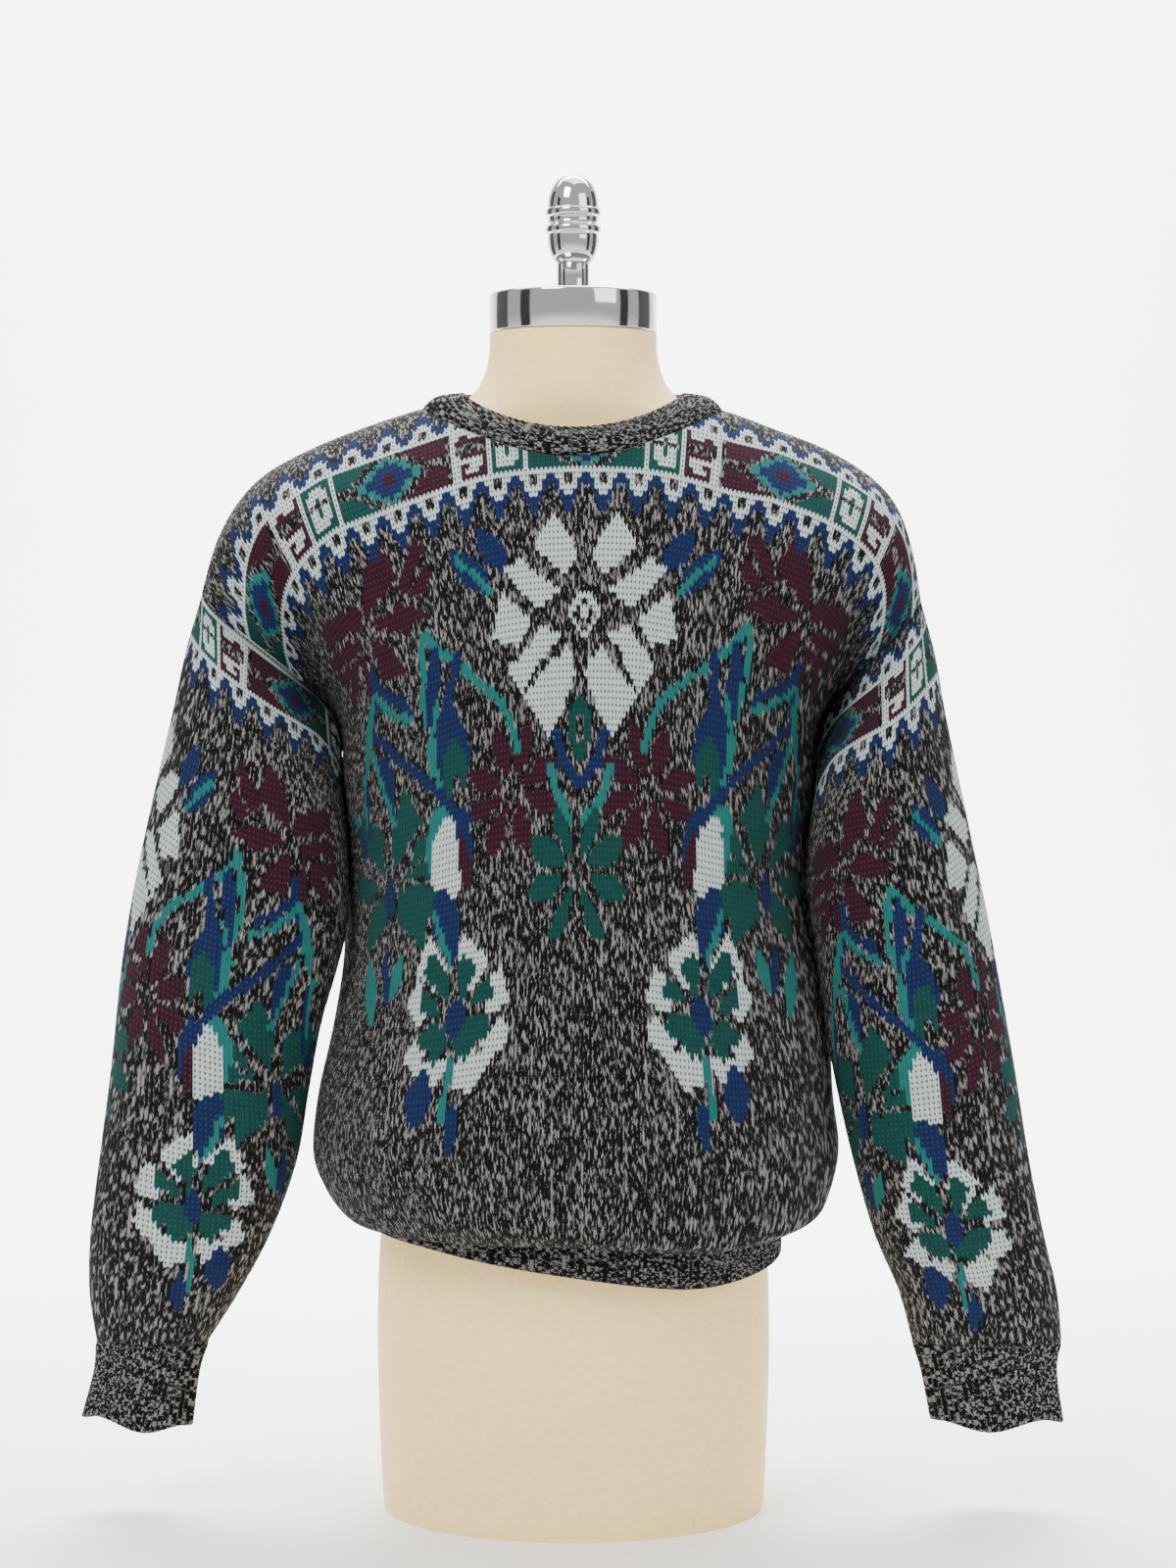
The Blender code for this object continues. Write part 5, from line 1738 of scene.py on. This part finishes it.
def linen_group() -> bpy.types.NodeTree:
    """Group for a plain weave: threads both ways, uneven in tone.

    Returns:
        The group's tree.
    """
    tree, wires, start, end = group_tree(
        "plain_weave",
        {"Vector": ("NodeSocketVector", (0.0, 0.0, 0.0)), "Base": ("NodeSocketColor", (0.8, 0.7, 0.6, 1.0)),
         "Threads": ("NodeSocketFloat", 900.0)},
        {"Color": "NodeSocketColor", "Height": "NodeSocketFloat"})
    scaled = wires.node("ShaderNodeVectorMath", operation="SCALE", in0=start.outputs["Vector"])
    tree.links.new(start.outputs["Threads"], scaled.inputs["Scale"])
    split = wires.node("ShaderNodeSeparateXYZ", in0=scaled.outputs[0])
    warp = wires.sum("SINE", wires.sum("MULTIPLY", split.outputs[0], TURN))
    weft = wires.sum("SINE", wires.sum("MULTIPLY", split.outputs[2], TURN))
    height = wires.sum("ADD", wires.sum("ABSOLUTE", warp), wires.sum("ABSOLUTE", weft))
    noise = wires.node("ShaderNodeTexNoise")
    tree.links.new(start.outputs["Vector"], noise.inputs["Vector"])
    noise.inputs["Scale"].default_value = 260.0
    noise.inputs["Detail"].default_value = 3.0
    uneven = wires.node("ShaderNodeMapRange", in0=noise.outputs[0], in1=0.3, in2=0.7, in3=0.92, in4=1.04)
    tree.links.new(wires.darken(start.outputs["Base"], uneven.outputs[0]), end.inputs["Color"])
    tree.links.new(height, end.inputs["Height"])
    return tree


@dataclass(frozen=True)
class KnitFinish:
    """Matt knitted yarn with a soft nap."""

    name: str
    dark: Colour = (0.0022, 0.0021, 0.0021)
    light: Colour = (0.165, 0.162, 0.158)
    light_share: float = 0.435
    fineness: float = 1.0
    bump: float = 0.55
    bump_depth: float = 0.0006
    sheen: float = 0.02

    def make(self, group: bpy.types.NodeTree) -> bpy.types.Material:
        """Make the material round the shared group.

        Args:
            group: The knit group.

        Returns:
            The material.
        """
        material = bpy.data.materials.new(self.name)
        material.use_nodes = True
        wires = Wiring(material.node_tree)
        shader = material.node_tree.nodes["Principled BSDF"]
        knit = wires.node("ShaderNodeGroup")
        knit.node_tree = group
        yarn = wires.node("ShaderNodeAttribute", attribute_name="yarn")
        marl = wires.node("ShaderNodeAttribute", attribute_name="marl")
        links = material.node_tree.links
        links.new(yarn.outputs["Color"], knit.inputs["Yarn"])
        links.new(marl.outputs["Fac"], knit.inputs["Marl"])
        knit.inputs["Dark"].default_value = (*self.dark, 1.0)
        knit.inputs["Light"].default_value = (*self.light, 1.0)
        knit.inputs["Light Share"].default_value = self.light_share
        knit.inputs["Fineness"].default_value = self.fineness
        links.new(knit.outputs["Color"], shader.inputs["Base Color"])
        bump = wires.node("ShaderNodeBump")
        bump.inputs["Strength"].default_value = self.bump
        bump.inputs["Distance"].default_value = self.bump_depth
        links.new(knit.outputs["Height"], bump.inputs["Height"])
        links.new(bump.outputs[0], shader.inputs["Normal"])
        shader.inputs["Roughness"].default_value = 0.88
        shader.inputs["Sheen Weight"].default_value = self.sheen
        shader.inputs["Sheen Roughness"].default_value = 0.6
        shader.inputs["Specular IOR Level"].default_value = 0.08
        return material


@dataclass(frozen=True)
class LinenFinish:
    """Unbleached linen over the form."""

    name: str = "cream_linen"
    base: Colour = (0.98, 0.72, 0.31)

    def make(self) -> bpy.types.Material:
        """Make the material with its weave.

        Returns:
            The material.
        """
        material = bpy.data.materials.new(self.name)
        material.use_nodes = True
        wires = Wiring(material.node_tree)
        links = material.node_tree.links
        shader = material.node_tree.nodes["Principled BSDF"]
        weave = wires.node("ShaderNodeGroup")
        weave.node_tree = linen_group()
        place = wires.node("ShaderNodeTexCoord").outputs["Object"]
        links.new(place, weave.inputs["Vector"])
        weave.inputs["Base"].default_value = (*self.base, 1.0)
        links.new(weave.outputs["Color"], shader.inputs["Base Color"])
        bump = wires.node("ShaderNodeBump")
        bump.inputs["Strength"].default_value = 0.25
        bump.inputs["Distance"].default_value = 0.0002
        links.new(weave.outputs["Height"], bump.inputs["Height"])
        links.new(bump.outputs[0], shader.inputs["Normal"])
        shader.inputs["Roughness"].default_value = 0.85
        shader.inputs["Sheen Weight"].default_value = 0.15
        shader.inputs["Specular IOR Level"].default_value = 0.25
        return material


@dataclass(frozen=True)
class MetalFinish:
    """Polished chrome, with faint smears in its gloss."""

    name: str
    base: Colour = (0.54, 0.545, 0.54)

    def make(self) -> bpy.types.Material:
        """Make the material.

        Returns:
            The material.
        """
        material = bpy.data.materials.new(self.name)
        material.use_nodes = True
        wires = Wiring(material.node_tree)
        shader = material.node_tree.nodes["Principled BSDF"]
        noise = wires.node("ShaderNodeTexNoise")
        noise.inputs["Scale"].default_value = 40.0
        gloss = wires.node("ShaderNodeMapRange", in0=noise.outputs[0], in1=0.3, in2=0.7, in3=0.05, in4=0.11)
        material.node_tree.links.new(gloss.outputs[0], shader.inputs["Roughness"])
        shader.inputs["Base Color"].default_value = (*self.base, 1.0)
        shader.inputs["Metallic"].default_value = 1.0
        return material


class Lamp(NamedTuple):
    """Soft square light: its place, the side of the square, its watts and what it looks at."""

    name: str
    place: tuple[float, float, float]
    size: float
    power: float
    target: tuple[float, float, float] = (0.0, 0.0, 0.5)

    def build(self) -> None:
        """Hang the light."""
        data = bpy.data.lights.new(self.name, "AREA")
        data.size = self.size
        data.energy = self.power
        way = np.array(self.target) - np.array(self.place)
        yaw = math.atan2(way[1], way[0]) - math.pi / 2
        tilt = math.atan2(way[2], math.hypot(way[0], way[1])) + math.pi / 2
        thing = add(self.name, data)
        thing.location = self.place
        thing.rotation_euler = (tilt, 0.0, yaw)


class Screen(NamedTuple):
    """Dark screen that polished metal mirrors, and that no view shows: its middle and half sizes."""

    name: str
    middle: tuple[float, float, float]
    half_depth: float
    half_height: float

    def build(self) -> None:
        """Stand the screen beside the form."""
        x, y, z = self.middle
        near, far = y - self.half_depth, y + self.half_depth
        low, high = z - self.half_height, z + self.half_height
        mesh = bpy.data.meshes.new(self.name)
        mesh.from_pydata([(x, near, low), (x, far, low), (x, far, high), (x, near, high)], [],
                         [(0, 1, 2, 3)])
        mesh.materials.append(matt(self.name, (0.015, 0.015, 0.016), 1.0))
        thing = add(self.name, mesh)
        thing.visible_camera = False


LAMPS = (
    Lamp("key", (-1.4, -2.2, 2.9), 1.4, 130.0),
    Lamp("fill", (2.2, -2.2, 1.8), 1.8, 38.0),
    Lamp("top", (0.2, 0.2, 3.2), 2.2, 60.0),
    Lamp("back", (0.3, 1.8, 2.6), 1.6, 30.0),
    Lamp("wall", (0.0, 0.9, 2.9), 2.4, 700.0, (0.0, 4.2, 0.9)),
)
SCREENS = (
    Screen("screen_left", (-2.2, -0.9, 1.0), 0.35, 0.9),
    Screen("screen_right", (2.3, -0.7, 1.0), 0.30, 0.9),
    Screen("screen_far_left", (-2.3, 1.1, 1.0), 0.70, 1.2),
    Screen("screen_far_right", (2.3, 1.1, 1.0), 0.70, 1.2),
)


def matt(name: str, colour: Colour, roughness: float) -> bpy.types.Material:
    """Make a plain matt material.

    Args:
        name: Its name.
        colour: Its colour.
        roughness: Its roughness.

    Returns:
        The material.
    """
    material = bpy.data.materials.new(name)
    material.use_nodes = True
    shader = material.node_tree.nodes["Principled BSDF"]
    shader.inputs["Base Color"].default_value = colour + (1.0,)
    shader.inputs["Roughness"].default_value = roughness
    return material


@dataclass
class Studio:
    """Pale seamless floor, soft lights and the camera at the photo's angle."""

    camera_place: tuple[float, float, float] = (0.0108, -2.4, 0.655)
    pitch: float = 2.85
    lens: float = 75.0
    floor_front: float = -6.0
    bend_start: float = 2.2
    bend: float = 1.6
    wall_top: float = 7.0
    half_width: float = 9.0
    sky_strength: float = 0.80

    def floor(self) -> None:
        """Lay a pale floor that curves up behind."""
        rows = [(self.floor_front, 0.0), (self.bend_start, 0.0)]
        for degrees in range(10, 91, 10):
            angle = math.radians(degrees)
            rows.append((self.bend_start + self.bend * math.sin(angle),
                         self.bend - self.bend * math.cos(angle)))
        rows.append((self.bend_start + self.bend, self.wall_top))
        points = [(x, y, z) for y, z in rows for x in (-self.half_width, self.half_width)]
        faces = [(2 * i, 2 * i + 1, 2 * i + 3, 2 * i + 2) for i in range(len(rows) - 1)]
        mesh = bpy.data.meshes.new("floor")
        mesh.from_pydata(points, [], faces)
        mesh.polygons.foreach_set("use_smooth", [True] * len(faces))
        material = matt("pale_floor", (0.93, 0.925, 0.915), 0.9)
        material.node_tree.nodes["Principled BSDF"].inputs["Specular IOR Level"].default_value = 0.1
        mesh.materials.append(material)
        add("floor", mesh)

    def sky(self) -> None:
        """Fill the room with pale, even light."""
        world = bpy.data.worlds.new("studio")
        bpy.context.scene.world = world
        world.use_nodes = True
        background = world.node_tree.nodes["Background"]
        background.inputs["Color"].default_value = (0.97, 0.97, 0.98, 1.0)
        background.inputs["Strength"].default_value = self.sky_strength

    def camera(self) -> None:
        """Set the camera where the photo was taken from."""
        data = bpy.data.cameras.new("camera")
        data.lens = self.lens
        data.sensor_width = 36.0
        data.clip_end = 50.0
        thing = add("camera", data)
        thing.location = self.camera_place
        thing.rotation_euler = (math.radians(90.0 - self.pitch), 0.0, 0.0)
        bpy.context.scene.camera = thing

    def build(self) -> None:
        """Set up camera, floor, lights and screens."""
        self.camera()
        self.floor()
        self.sky()
        for thing in LAMPS + SCREENS:
            thing.build()


def place_piece(piece: bpy.types.Object, node: str, material: bpy.types.Material) -> None:
    """Give a piece its material and body, and hide the CAD node that it replaces.

    Args:
        piece: The piece.
        node: CAD node that it replaces.
        material: Its material.
    """
    piece.data.materials.append(material)
    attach(piece, "root")
    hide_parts(node)
    LOG.info("%s: %d faces, for %s", piece.name, len(piece.data.polygons), node)


def main() -> None:
    """Build every piece on the frame."""
    Studio().build()
    knit = knit_group()
    jacquard = KnitFinish("jacquard_knit").make(knit)
    rib = KnitFinish("marled_rib", light=(0.145, 0.143, 0.142), light_share=0.46, fineness=2.0).make(knit)
    for side in ("front", "back"):
        piece = KnitPanel(side).build()
        place_piece(piece, "sweater_" + side, jacquard)
    left = KnitSleeve(SLEEVES[0], band_drop=0.070, motif_drop=0.042,
                      cut=((0.0, 0.434), (0.15, 0.43), (0.56, 0.24)))
    right = KnitSleeve(SLEEVES[1], band_drop=0.042, motif_drop=0.023,
                       cut=((0.0, 0.394), (0.15, 0.39), (0.56, 0.27)))
    for sleeve in (left, right):
        shape = sleeve.shape
        piece = sleeve.build()
        place_piece(piece, "sleeve_" + shape.side, jacquard)
        piece = cuff_band(shape)
        place_piece(piece, "cuff_" + shape.side, rib)
    piece = hem_band()
    place_piece(piece, "hem_band", rib)
    piece = Neckband().build()
    place_piece(piece, "neckband", rib)
    place_piece(DressForm().build(), "form_torso", LinenFinish().make())
    chrome = MetalFinish("polished_chrome").make()
    furniture = NeckFurniture()
    place_piece(furniture.cap(), "neck_cap", chrome)
    place_piece(furniture.knob(), "finial", chrome)


if __name__ == "__main__":
    logging.basicConfig(level=logging.INFO, format="%(name)s: %(message)s")
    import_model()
    main()
